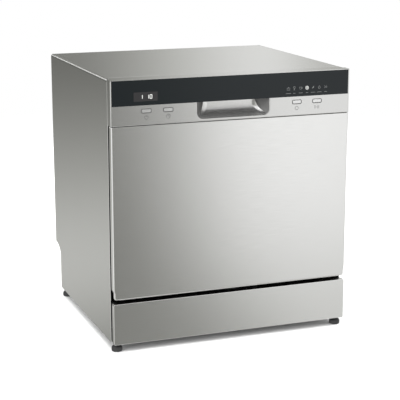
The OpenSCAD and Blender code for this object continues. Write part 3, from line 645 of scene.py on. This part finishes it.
def copy_packed(bm, node, half):
    """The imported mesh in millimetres, joined flat, no wider than half and set back a little."""
    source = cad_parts[node].data
    spots = [v.co / MM for v in source.vertices]
    verts = [bm.verts.new((max(-half, min(half, p.x)), max(p.y, INK_FRONT), p.z)) for p in spots]
    for polygon in source.polygons:
        bm.faces.new([verts[i] for i in polygon.vertices])
    bmesh.ops.remove_doubles(bm, verts=bm.verts, dist=0.01)
    bmesh.ops.dissolve_limit(bm, angle_limit=math.radians(0.6), verts=bm.verts, edges=bm.edges)


def build_console(bm):
    copy_packed(bm, "console_housing", HALF_WIDTH)
    rim, ends = [], []
    for edge in bm.edges:
        spots = [v.co for v in edge.verts]
        lowest, highest = sorted(p.z for p in spots)
        if any(abs(p.y - INK_FRONT) > 0.01 for p in spots):
            continue
        in_pocket = all(abs(p.x) < POCKET_HALF + 1 for p in spots) and strip_low.z + 2 < lowest
        if in_pocket and highest < fascia_low.z + 0.01 and lowest < fascia_low.z - 1:
            rim.append(edge)
        if all(abs(abs(p.x) - HALF_WIDTH) < 0.01 for p in spots) and highest < fascia_low.z + 1:
            ends.append(edge)
    bmesh.ops.bevel(bm, geom=rim, offset=POCKET_RIM, segments=5, profile=0.5, affect="EDGES")
    bmesh.ops.bevel(bm, geom=ends, offset=END_RADIUS, segments=5, profile=0.5, affect="EDGES")
    corner = arc(END_RADIUS, 0, -90, 6, HALF_WIDTH - END_RADIUS, INK_FRONT + END_RADIUS)
    post = [(FASCIA_HALF + 0.1, FRONT + 2), (HALF_WIDTH, FRONT + 2.1)] + corner
    post.append((FASCIA_HALF + 0.1, INK_FRONT))
    for side in (-1, 1):
        levels = fascia_low.z + 0.1, fascia_high.z - 0.1
        loft(bm, [[(side * x, y, z) for x, y in post] for z in levels])
        x0, x1 = sorted(side * x for x in LIP_X)
        box(bm, (x0, LIP_Y[0], LIP_Z[0]), (x1, LIP_Y[1], LIP_Z[1]))
    print("rim edges", len(rim), "end edges", len(ends))


def build_fascia(bm):
    copy_packed(bm, "fascia", FASCIA_HALF)


new_piece("console_cover", build_console, console_lacquer, "door",
          ["console_housing"], soften=0.5)
new_piece("fascia_cover", build_fascia, gloss_black, "door", ["fascia"],
          soften=0.3)

# %% [markdown]
# The handle pocket is a scoop: its floor runs back and curves up into its rear wall. The curved
# part looks up at the dark underside of the fascia, so it is grey and darkest at the lip, and the
# upright part above it shows the bright room. A plain box would show neither. So rings of the
# pocket's outline are lofted backwards, while their lower edge climbs a quarter of an ellipse.
# The cheeks at its ends are painted matt dark grey as shade, and the strip under the roof, which
# lies in full shade, is painted black.

# %% Handle pocket
SCOOP_FRONT, SCOOP_BACK = FRONT + 1.6, FRONT + 28
POCKET_FLOOR, POCKET_ROOF = 503.7, 558
SCOOP_RISE, SCOOP_NARROW = 35, 20
SHADED_ABOVE = 554
POCKET_CORNER = 14


def pocket_ring(y, share):
    """The pocket's outline at one depth, where share runs from 0 at the lip to 1 at the back."""
    rise = 1 - math.sqrt(max(0, 1 - share ** 2))
    half = POCKET_HALF - SCOOP_NARROW * share ** 1.4
    bottom = POCKET_FLOOR + SCOOP_RISE * rise
    left = arc(POCKET_CORNER, 180, 270, 8, -half + POCKET_CORNER, bottom + POCKET_CORNER)
    right = arc(POCKET_CORNER, 270, 360, 8, half - POCKET_CORNER, bottom + POCKET_CORNER)
    ends = [(x, z) for x in (-half, half) for z in (POCKET_ROOF, SHADED_ABOVE)]
    outline = ends[:2] + left + right + ends[:1:-1]
    return [(x, y, z) for x, z in outline]


def build_pocket(bm):
    rings = [pocket_ring(SCOOP_FRONT + (SCOOP_BACK - SCOOP_FRONT) * share, share)
             for _, share in quarter(14)]
    for k, face in enumerate(loft(bm, rings, first_cap=False)[:-1]):
        part = k % len(rings[0])
        # Faces under the roof get painted black shade, and the cheeks a painted dark grey shade.
        shaded = part in (0, 20, 21)
        cheek = part < 6 or part > 14
        face.material_index = 1 if shaded else 2 if cheek else 0


new_piece("pocket_scoop", build_pocket, [pocket_grey, painted_shade_black, pocket_cheek_shade], "door",
          ["handle_pocket"], sharp=60, wall=1.4)

# %% [markdown]
# Printed marks are flat ribbons of ink. Each mark is a few strokes, given as arcs and lines about
# its own middle, and drawn on the front plane. The fascia carries seven programme marks with one
# of them lit, the display shows plain digits, and each key has a small mark under it.


# %% Strokes
INK_Y = FRONT + 0.05
INK_HALF = 0.03


def ribbon(bm, points, width, cx, cz, y=INK_Y, slot_index=0):
    """One stroke of ink on the front plane."""
    path = [(cx + x, y, cz + z) for x, z in points]
    section = [(u * INK_HALF, v * width / 2) for u, v in ((1, -1), (1, 1), (-1, 1), (-1, -1))]
    sweep(bm, path, section, (0, -1, 0), slot_index=slot_index)


def draw(bm, mark, size, width, cx, cz, slot_index=0):
    """All the strokes of one mark, at this size."""
    for stroke in mark:
        ribbon(bm, [(x * size, z * size) for x, z in stroke], width, cx, cz, slot_index=slot_index)


POWER = [arc(2.6, 125, 415), [(0, 0.4), (0, 3.6)]]
CLOCK = [arc(2.9, 0, 360, 20), [(0, 1.9), (0, 0), (1.5, -0.9)]]
LIST = [arc(2.6, -20, 290), [(0.4, -2.7), (1.5, -2.1), (0.9, -1.0)]]
PLAY = [[(-3.4, 2.2), (-0.4, 0), (-3.4, -2.2), (-3.4, 2.2)], [(1.4, 2.3), (1.4, -2.3)],
        [(3.1, 2.3), (3.1, -2.3)]]
PLATE = [arc(3.1, 0, 360, 20), arc(1.5, 0, 360, 16)]
GLASS = [[(-2.2, 3.1), (-1.5, 0.1), (1.5, 0.1), (2.2, 3.1), (-2.2, 3.1)], [(0, 0.1), (0, -2.8)],
         [(-1.7, -2.9), (1.7, -2.9)]]
POT = [[(-2.9, 1.2), (-2.9, -2.5), (2.9, -2.5), (2.9, 1.2), (-2.9, 1.2)],
       [(-0.9, 2.4), (0.9, 2.4)]]
DROP = [arc(1.9, -220, 40, 14, 0, -0.9) + [(0, 3.2), (-1.5, 0.3)]]
LEAF = [arc(3.4, 100, 190, 10, 1.6, -1.6), arc(3.4, -80, 10, 10, -1.8, 1.8),
        [(-2.4, -2.4), (1.4, 1.4)]]
CUP = [[(-2.6, 1.9), (-2.0, -2.1), (1.2, -2.1), (1.8, 1.9), (-2.6, 1.9)],
       arc(1.3, -80, 80, 8, 1.6, 0.3)]
FAST = [[(-3.0, 2.2), (-0.2, 0), (-3.0, -2.2)], [(0.2, 2.2), (3.0, 0), (0.2, -2.2)]]

# %% Fascia marks
PROGRAMME_X = [128, 142, 157.5, 172.5, 187, 202, 217.5]
PROGRAMME_MARKS = [POT, GLASS, CUP, PLATE, LEAF, DROP, FAST]
PROGRAMME_Z = 558
UNDERLINE_HALF = [6.4, 2.6, 4.6, 2.8, 5.6, 5.6, 3.2]
UNDERLINE_DROP = 10.6
LIT = 3
STROKE = 0.8
MARK_SCALE = 1.15


def build_marks(bm):
    for i, (x, mark) in enumerate(zip(PROGRAMME_X, PROGRAMME_MARKS)):
        width = STROKE * (1.1 if i == LIT else 1)
        draw(bm, mark, MARK_SCALE, width, x, PROGRAMME_Z, int(i == LIT))
        half = UNDERLINE_HALF[i]
        ribbon(bm, [(-half, 0), (half, 0)], STROKE, x, PROGRAMME_Z - UNDERLINE_DROP)


new_piece("programme_marks", build_marks, [dim_print, lit_white], "door")

# %% Key marks
KEY_X = [-197, -148.5, 148.5, 197]
KEY_MARK_Z = 514.4
KEY_MARK_SCALE = 1.5


def build_key_marks(bm):
    for x, mark in zip(KEY_X, (POWER, CLOCK, LIST, PLAY)):
        draw(bm, mark, KEY_MARK_SCALE, STROKE, x, KEY_MARK_Z)


new_piece("key_marks", build_key_marks, dark_print_and_shade, "door")

# %% Display
SEGMENTS = {"1": "bc", "0": "abcdef"}
DIGITS = [("1", -209.5), ("1", -195.5), ("0", -188.5)]
DIGIT_WIDTH, DIGIT_HEIGHT = 4.2, 8.4
DIGIT_Z = 558
DIGIT_STROKE = 1.25
SEGMENT_SHARE = 0.94     # of the half height, so that the segments don't run past the corners


def build_window(bm):
    outline = rounded_outline(-224.4, -171.6, 548.5, 567.9, 1.4)
    loft(bm, [[(x, y, z) for x, z in outline] for y in (FRONT + 9, FRONT + 0.6, FRONT + 0.25)])
    box(bm, (-228, FRONT + 9, 545.3), (-168, FRONT + 13.7, 571))


def build_digits(bm):
    half = DIGIT_HEIGHT / 2
    lines = {"a": ((0, half), (1, half)), "b": ((1, half), (1, 0)), "c": ((1, 0), (1, -half)),
             "d": ((0, -half), (1, -half)), "e": ((0, -half), (0, 0)), "f": ((0, 0), (0, half))}
    for character, x in DIGITS:
        for segment in SEGMENTS[character]:
            stroke = [(wide * DIGIT_WIDTH, high * SEGMENT_SHARE) for wide, high in lines[segment]]
            ribbon(bm, stroke, DIGIT_STROKE, x, DIGIT_Z, FRONT + 0.16)


new_piece("display_pane", build_window, smoked_window, "door", ["display_window"])
new_piece("display_digits", build_digits, lit_white, "door")


# %% [markdown]
# The four keys are bright caps with a soft crown, each in a hole ringed with painted shade: a dark
# band that stands for the shaded gap. Each cap is lofted: an outline at the back, the same outline
# near the front, and four smaller ones that step it in and round it over.

# %% Keys
KEY_Z, KEY_HALF_WIDTH, KEY_HALF_HEIGHT = 528, 11, 4.5
KEY_CORNER, WIDEST_CORNER = 3.1, 3.5
CAP_RINGS = [(0.1, 3.5), (0.1, 1.1), (0.9, 1.0), (0.95, 0.5), (1.15, 0.3), (1.5, 0.22)]
WELL_RINGS = [(-0.5, 0.09), (-0.5, 0.05), (0.6, 0.05), (0.6, 0.8)]


def key_ring(x, inset, behind):
    """A key's outline made smaller by inset, at one depth behind the front."""
    wide, high = KEY_HALF_WIDTH - inset, KEY_HALF_HEIGHT - inset
    corner = min(KEY_CORNER - inset, WIDEST_CORNER)
    outline = rounded_outline(-wide, wide, -high, high, corner)
    return [(x + u, FRONT + behind, KEY_Z + v) for u, v in outline]


def build_key(x):
    def build(bm):
        loft(bm, [key_ring(x, inset, behind) for inset, behind in CAP_RINGS])
        box(bm, (x - 3, FRONT + 3.4, KEY_Z - 2.5), (x + 3, FRONT + 7.3, KEY_Z + 2.5))
    return build


# The dark ring round each key is painted shade of the gap between the key and the console.
def build_key_wells(bm):
    for x in KEY_X:
        rings = [key_ring(x, inset, behind) for inset, behind in WELL_RINGS]
        loft(bm, rings, first_cap=False, last_cap=False)


for x, key in zip(KEY_X, ("power", "delay", "program", "start")):
    new_piece(key + "_key_cap", build_key(x), key_silver, key + "_key",
              [key + "_button"])
new_piece("key_wells", build_key_wells, dark_print_and_shade, "door")

# %% [markdown]
# A rack is bent from round steel wire and coated in nylon. Every floor wire is one length that
# runs down one wall, across the floor and up the other wall, with a bend at each corner, and two
# closed rims tie the walls. So the mesh is swept wire by wire, as the real one is welded.

# %% Rack wires
WIRE = 1.8
TINE = 1.6


def wire(bm, points, radius=WIRE, bend=9, closed=False, normal=(0, 0, 1), sides=8):
    path = bent(points, bend, closed=closed) if len(points) > 2 else points
    first = Vector(path[1]) - Vector(path[0])
    if abs(first.normalized().dot(Vector(normal))) > 0.9:
        normal = (0.3, 1, 0)
    sweep(bm, path, circle(radius, sides), normal, closed=closed)


def tine(bm, x, y, z0, z1, radius=TINE):
    """An upright wire with a round tip."""
    dome = [(radius * math.cos(a), z1 - z0 - radius + radius * math.sin(a))
            for a in (0, math.radians(35), math.radians(65), math.radians(90))]
    turn(bm, [(radius, 0)] + dome, (x, y, z0), (0, 0, 1), 8)


def basket(bm, half, y0, y1, z, h, xs, ys):
    lap = WIRE * 1.4
    for x in xs:
        wire(bm, [(x, y0, z + h), (x, y0, z), (x, y1, z), (x, y1, z + h)])
    for y in ys:
        wire(bm, [(-half, y, z + h), (-half, y, z + lap), (half, y, z + lap), (half, y, z + h)])
    for level in (z + h * 0.5, z + h):
        x, front, back = half + lap, y0 - lap, y1 + lap
        wire(bm, [(-x, front, level), (x, front, level), (x, back, level), (-x, back, level)],
             bend=20, closed=True)


def spaced(start, end, pitch):
    return [start + pitch * i for i in range(int(round((end - start) / pitch)) + 1)]


# %% Lower rack
TINE_YS = spaced(-112, 168, 28)


def build_lower_rack(bm):
    basket(bm, 214, -134, 196, 200, 84, spaced(-189, 189, 42), spaced(-118, 170, 48))
    for x in (-150, 50):
        wire(bm, [(x, -120, 206.2), (x, 176, 206.2)])
        for y in TINE_YS:
            tine(bm, x, y, 205.5, 264)
    for y in (-124, 180):
        turn(bm, [(3, -3), (4.6, -2.6), (4.6, 2.6), (3, 3)], (-50, y, 208), (0, 1, 0), 20)
        box(bm, (-58, y - 2.6, 202), (-47, y + 2.6, 205))
    for side in (-1, 1):
        for y in (-96, 122):
            x0, x1 = sorted((side * 216, side * 219.8))
            outline = rounded_outline(y - 20, y + 8, 191, 209, 6)
            loft(bm, [[(x, u, v) for u, v in outline] for x in (x0, x1)])
            turn(bm, [(3, 0), (3, 18.5), (2.4, 19.6)], (side * 220, y, 196), (side, 0, 0), 20)


new_piece("lower_rack_wires", build_lower_rack, nylon_wire, "lower_basket",
          ["lower_rack"])


# %% Upper rack
def build_upper_rack(bm):
    basket(bm, 212, -172, 182, 364, 100, spaced(-180, 180, 45), spaced(-150, 150, 50))
    for x in (-90, 90):
        wire(bm, [(x, -160, 370.2), (x, 170, 370.2)])
        for y in spaced(-130, 158, 36):
            tine(bm, x, y, 369.5, 408)
    for y in (-100, 100):
        for side in (-1, 1):
            wire(bm, [(side * 213.6, y, 426), (side * 233, y, 426)])
        turn(bm, [(2.4, -3), (4.4, -2.6), (4.4, 2.6), (2.4, 3)], (-205, y, 430), (0, 1, 0), 20)
        wire(bm, [(-205, y, 434), (-211.5, y, 434)], radius=1.6)
    for x in (-45, 45):
        box(bm, (x - 2.8, -19, 355.4), (x + 2.8, 19, 362))


def build_channels(bm):
    """The steel channels that carry the upper rack over its rollers."""
    section = [(246, 418.6), (246, 419.9), (234.4, 419.9), (234.4, 440.1), (246, 440.1),
               (246, 441.4), (233.1, 441.4), (233.1, 418.6)]
    for side in (-1, 1):
        loft(bm, [[(side * x, y, z) for x, z in section] for y in (-182, 188)])


new_piece("upper_rack_wires", build_upper_rack, nylon_wire, "upper_basket",
          ["upper_rack"])
new_piece("upper_rack_channels", build_channels, stainless, "upper_basket",
          soften=0.3)


# %% Folding rows
def build_fold(bm):
    turn(bm, [(2.5, 0), (2.5, 315), (1.6, 316)], (-50, -130, 208), (0, 1, 0), 12)
    for y in TINE_YS:
        tine(bm, -50, y, 208, 266)


def build_shelf(bm):
    turn(bm, [(1.8, 0), (1.8, 216)], (-205, -108, 430), (0, 1, 0), 12)
    for y in spaced(-76, 76, 19):
        wire(bm, [(-205, y, 430), (-205, y, 507.6)], radius=1.5)
    border = [(-203, -79, 432), (-203, -79, 506), (-203, 79, 506), (-203, 79, 432)]
    wire(bm, border, radius=1.5, bend=10)
    wire(bm, [(-203, -79, 470), (-203, 79, 470)], radius=1.5)


new_piece("folding_tine_wires", build_fold, nylon_wire, "tine_row",
          ["folding_tines"])
new_piece("cup_shelf_wires", build_shelf, nylon_wire, "shelf", ["cup_shelf"])


# %% [markdown]
# A spray arm is a hollow blade moulded in two halves. It is thickest in the middle, its rim is
# round, and a row of jets stands along each side. The blade is a stack of stadium outlines that
# swell and shrink, with the hub turned and the jets turned on top.

# %% Spray arms
JETS = 6


def build_arm(reach, z0, z1, hub_low, hub_high, hub_y, jets_up):
    def build(bm):
        def ring(inset, z):
            outline = []
            for centre, start in ((reach - 15, -90), (15 - reach, 90)):
                end = arc(15 - inset, start, start + 180, 12, centre, 0)
                outline += [(x, hub_y + y, z) for x, y in end]
            return outline
        thick = z1 - z0
        loft(bm, [ring(4, z0), ring(1.4, z0 + thick * 0.12), ring(0.2, z0 + thick * 0.35),
                  ring(0.2, z0 + thick * 0.62), ring(1.6, z0 + thick * 0.88), ring(4.6, z1)])
        hub = [(10.4, hub_low), (16, hub_low), (16, hub_high - 2), (13, hub_high)]
        disc = [(20, z0 + 1), (24, z0 + 3), (24, z1 - 2.5), (20, z1)]
        turn(bm, disc, (0, hub_y, 0), (0, 0, 1), 40)
        turn(bm, hub, (0, hub_y, 0), (0, 0, 1), 36)
        base, tip = (z1 - 0.4, z1 + 1.6) if jets_up else (z0 + 0.4, z0 - 0.9)
        tall = abs(tip - base)
        jet = [(5.2, 0), (4.4, tall * 0.6), (3, tall)]
        for i in range(JETS):
            for side in (-1, 1):
                x, y = side * (38 + (reach - 56) * i / (JETS - 1)), hub_y + side * 4
                turn(bm, jet, (x, y, base), (0, 0, tip - base), 20)
                # A thin black box through each jet is painted shade that stands for the jet's
                # slot.
                box(bm, (x - 2.1, y - 0.5, min(base, tip)),
                    (x + 2.1, y + 0.5, max(base, tip) + (0.1 if jets_up else 0)), 1)
    return build


new_piece("lower_arm_blade", build_arm(185, 169, 181, 167.1, 184.9, 9, True),
          [grey_plastic, painted_shade_black], "lower_arm", ["lower_spray_arm"])
new_piece("upper_arm_blade", build_arm(145, 330, 339, 326.5, 340.8, 9, False),
          [grey_plastic, painted_shade_black], "upper_arm", ["upper_spray_arm"])


# %% [markdown]
# Soft and wound parts: the seal round the tub's mouth is a hollow bulb with two lips, the lower
# seal a thin lip, the hoses bend in easy curves, and each balance spring is one wound wire.

# %% Seals and hoses
SEAL_SECTION = [(-1.2, -3.9), (1.2, -4.1), (1.25, -2.6), (0.2, -1.7), (1.2, -0.7), (1.2, 0.7),
                (0.2, 1.7), (1.25, 2.6), (1.2, 4.1), (-1.2, 3.9), (-0.9, 0)]
SEAL_X, SEAL_Y, SEAL_LOW, SEAL_HIGH = 254.7, -198.3, 176, 564.6


def build_gasket(bm):
    path = [(x, SEAL_Y, z) for x, z in ((-SEAL_X, SEAL_LOW), (-SEAL_X, SEAL_HIGH),
                                        (SEAL_X, SEAL_HIGH), (SEAL_X, SEAL_LOW))]
    sweep(bm, bent(path, 34, 10), SEAL_SECTION, (0, -1, 0))


def build_lip(bm):
    section = [(-197.1, 161.2), (-197.1, 169.8), (-198.0, 169.8), (-198.3, 166.5), (-199.4, 164.2),
               (-199.5, 161.6), (-198.8, 161.2)]
    loft(bm, [[(x, y, z) for y, z in section] for x in (-246, 246)])


def build_hoses(bm):
    riser = -264.5
    for points, radius in (
            ([(-200, 180, 88), (-200, 180, 122), (-200, 232, 136), (-200, 232, 300),
              (riser, 232, 300), (riser, 140, 300)], 5.8),
            ([(riser, 60, 190), (riser, 60, 125), (-120, 25, 125), (-51, 15, 125)], 5.8),
            ([(-89, 26, 80), (-89, 60, 80), (-150, 120, 62), (-150, 196.8, 62)], 6.8)):
        wire(bm, points, radius=radius, bend=26, sides=16)


def build_springs(bm):
    coils, per_turn, pitch, radius = 18, 14, 3.35, 7.3
    for side in (-1, 1):
        helix = []
        for i in range(coils * per_turn + 1):
            a = 2 * math.pi * i / per_turn
            helix.append((side * 256 + radius * math.cos(a), -184 + radius * math.sin(a),
                          37.2 + pitch * i / per_turn))
        sweep(bm, helix, circle(1.1, 6), (0, 0, 1))


new_piece("mouth_seal", build_gasket, soft_rubber, "cabinet", ["tub_gasket"])
new_piece("lower_seal_lip", build_lip, soft_rubber, "cabinet", ["lower_door_seal"])
new_piece("hose_runs", build_hoses, soft_rubber, "cabinet", ["inner_hoses"])
new_piece("balance_springs", build_springs, zinc, "cabinet", ["hinge_springs"])


# %% [markdown]
# The rear panel is one galvanised sheet that bends in under the tub. Long beads are pressed into
# its flat field, because a plain sheet of that size would drum. The field and the recess are
# planes with holes, so their outlines are filled as loops, the beads are lofted inwards from
# their holes, and one modifier then gives the whole skin its thickness.

# %% Rear panel
rear_low, rear_high = corners("rear_panel")
BEAD_LEVELS = [205, 275, 345, 415, 485]
BEAD_HALF, BEAD_RADIUS = 205, 9
PORTS = [(-200, 14), (-150, 10), (200, 9.05)]
PORT_Z = 62


def build_rear(bm):
    def flat(y, *loops):
        edges = []
        for line in loops:
            verts = [bm.verts.new((x, y, z)) for x, z in line]
            edges += [bm.edges.new((verts[i - 1], verts[i])) for i in range(len(verts))]
        bmesh.ops.triangle_fill(bm, use_beauty=True, edges=edges, normal=(0, 1, 0))

    def bead(level, inset):
        return rounded_outline(-BEAD_HALF + inset, BEAD_HALF - inset, level - BEAD_RADIUS + inset,
                               level + BEAD_RADIUS - inset, BEAD_RADIUS - inset, 8)

    half, back, recess = rear_high.x, rear_high.y, rear_high.y - REAR_INSET
    bend = [(back - REAR_INSET * c, STEP_LOW + (STEP_HIGH - STEP_LOW) * s) for c, s in quarter(12)]
    flat(back, [(-half, STEP_HIGH), (half, STEP_HIGH), (half, rear_high.z), (-half, rear_high.z)],
         *[bead(level, 0) for level in BEAD_LEVELS])
    flat(recess, [(-half, rear_low.z), (half, rear_low.z), (half, STEP_LOW), (-half, STEP_LOW)],
         *[[(x + u, PORT_Z + v) for u, v in circle(radius, 40)] for x, radius in PORTS])
    for (y0, z0), (y1, z1) in zip(bend, bend[1:]):
        spots = (-half, y0, z0), (half, y0, z0), (half, y1, z1), (-half, y1, z1)
        bm.faces.new([bm.verts.new(p) for p in spots])
    for level in BEAD_LEVELS:
        rings = [[(x, back - deep, z) for x, z in bead(level, inset)]
                 for inset, deep in ((0, 0), (0.5, 0.15), (3.0, 1.75), (4.2, 2.0))]
        loft(bm, rings, first_cap=False)
    bmesh.ops.remove_doubles(bm, verts=bm.verts, dist=0.01)


new_piece("rear_sheet", build_rear, zinc, "cabinet", ["rear_panel"], wall=-1.0)

# %% [markdown]
# At the lower rear the water inlet carries a coarse thread for the supply hose's nut, the waste
# spigot has barbs that hold a hose, and the grommet beside them is ringed where it grips.

# %% Rear fittings
def fitting(start, ridge, count, first, pitch, end, x, sides):
    """A builder for a turned fitting, whose ridge repeats a few times along it."""
    profile = list(start)
    for i in range(count):
        profile += [(radius, first + pitch * i + height) for radius, height in ridge]
    root = x, rear_high.y - REAR_INSET, PORT_Z
    return lambda bm: turn(bm, profile + end, root, (0, 1, 0), sides)


inlet = fitting([(8, -4.1), (13, -4.1), (13, 0), (17, 0), (17, 1.6), (16.4, 2), (12.2, 2.2)],
                [(12.1, 0), (13.2, 0.7), (13.2, 1.0), (12.1, 1.6)], 7, 3, 1.8,
                [(12.2, 16), (11.4, 17), (8, 17), (8, -4.1)], PORTS[0][0], 48)
waste = fitting([(7, -5.8), (9.4, -5.8), (9.4, 0), (13, 0), (13, 1.7), (12.6, 2), (8.8, 2.1)],
                [(8.7, 0), (9.5, 0.4), (8.7, 4.6)], 3, 8, 5.4,
                [(8.6, 26), (8.0, 27), (7, 27), (7, -5.8)], PORTS[1][0], 40)
gland = fitting([(4.1, -7.8), (8.9, -7.8), (8.9, 0), (12, 0.2), (12, 2.6), (11.4, 3), (9, 3.2)],
                [(9, 0), (7.6, 0.7), (7.6, 1.3), (9, 1.9)], 3, 4.2, 2.3,
                [(8.2, 11.8), (4.1, 11.9), (4.1, -7.8)], PORTS[2][0], 36)
new_piece("inlet_stub", inlet, pale_plastic, "cabinet", ["inlet_connector"])
new_piece("waste_spigot", waste, grey_plastic, "cabinet", ["drain_connector"])
new_piece("lead_grommet", gland, soft_rubber, "cabinet", ["cord_gland"])

# %% [markdown]
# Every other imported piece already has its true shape: pressed plates, moulded boxes, turned
# wheels and rings. They stay, and get their finish and a small rounded edge so that they catch
# the light as a pressed or moulded edge does.

# %% Kept pieces
KEPT = [
    (silver_enamel, 0.5, ["top_panel"]),
    (zinc, 0.35, ["hinge_brackets", "hinge_arms", "door_strike", "rear_screws", "latch_hook"]),
    (stainless, 0.4, ["tub", "filter_plate", "heater", "door_inner_liner"]),
    (grey_plastic, 0.5, ["sump", "coarse_filter", "spray_feed_pipe", "spray_manifold",
                         "dispenser_body", "detergent_lid", "cutlery_basket", "upper_rack_rails",
                         "lower_rack_runners"]),
    (pale_plastic, 0.5, ["inlet_valve", "water_chamber", "wash_impeller", "drain_impeller",
                         "upper_rollers", "lower_front_wheels", "lower_rear_wheels"]),
    (black_plastic, 0.5, ["base_tray", "wash_pump", "drain_pump", "door_lock", "release_paddle"]),
    (blue_plastic, 0.5, ["rinse_aid_cap"]),
    (hard_rubber, 0.4, ["levelling_feet"]),
    (board_green, 0.2, ["control_board"]),
]
for material, edge, nodes in KEPT:
    for name in nodes:
        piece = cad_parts[name]
        for place in piece.material_slots:
            place.material = material
        weld = piece.modifiers.new("weld", "WELD")
        weld.merge_threshold = 0.00001
        soften_edges(piece, edge)
        even = piece.modifiers.new("even_normals", "WEIGHTED_NORMAL")
        even.keep_sharp = False
print("kept", sum(len(nodes) for _, _, nodes in KEPT))
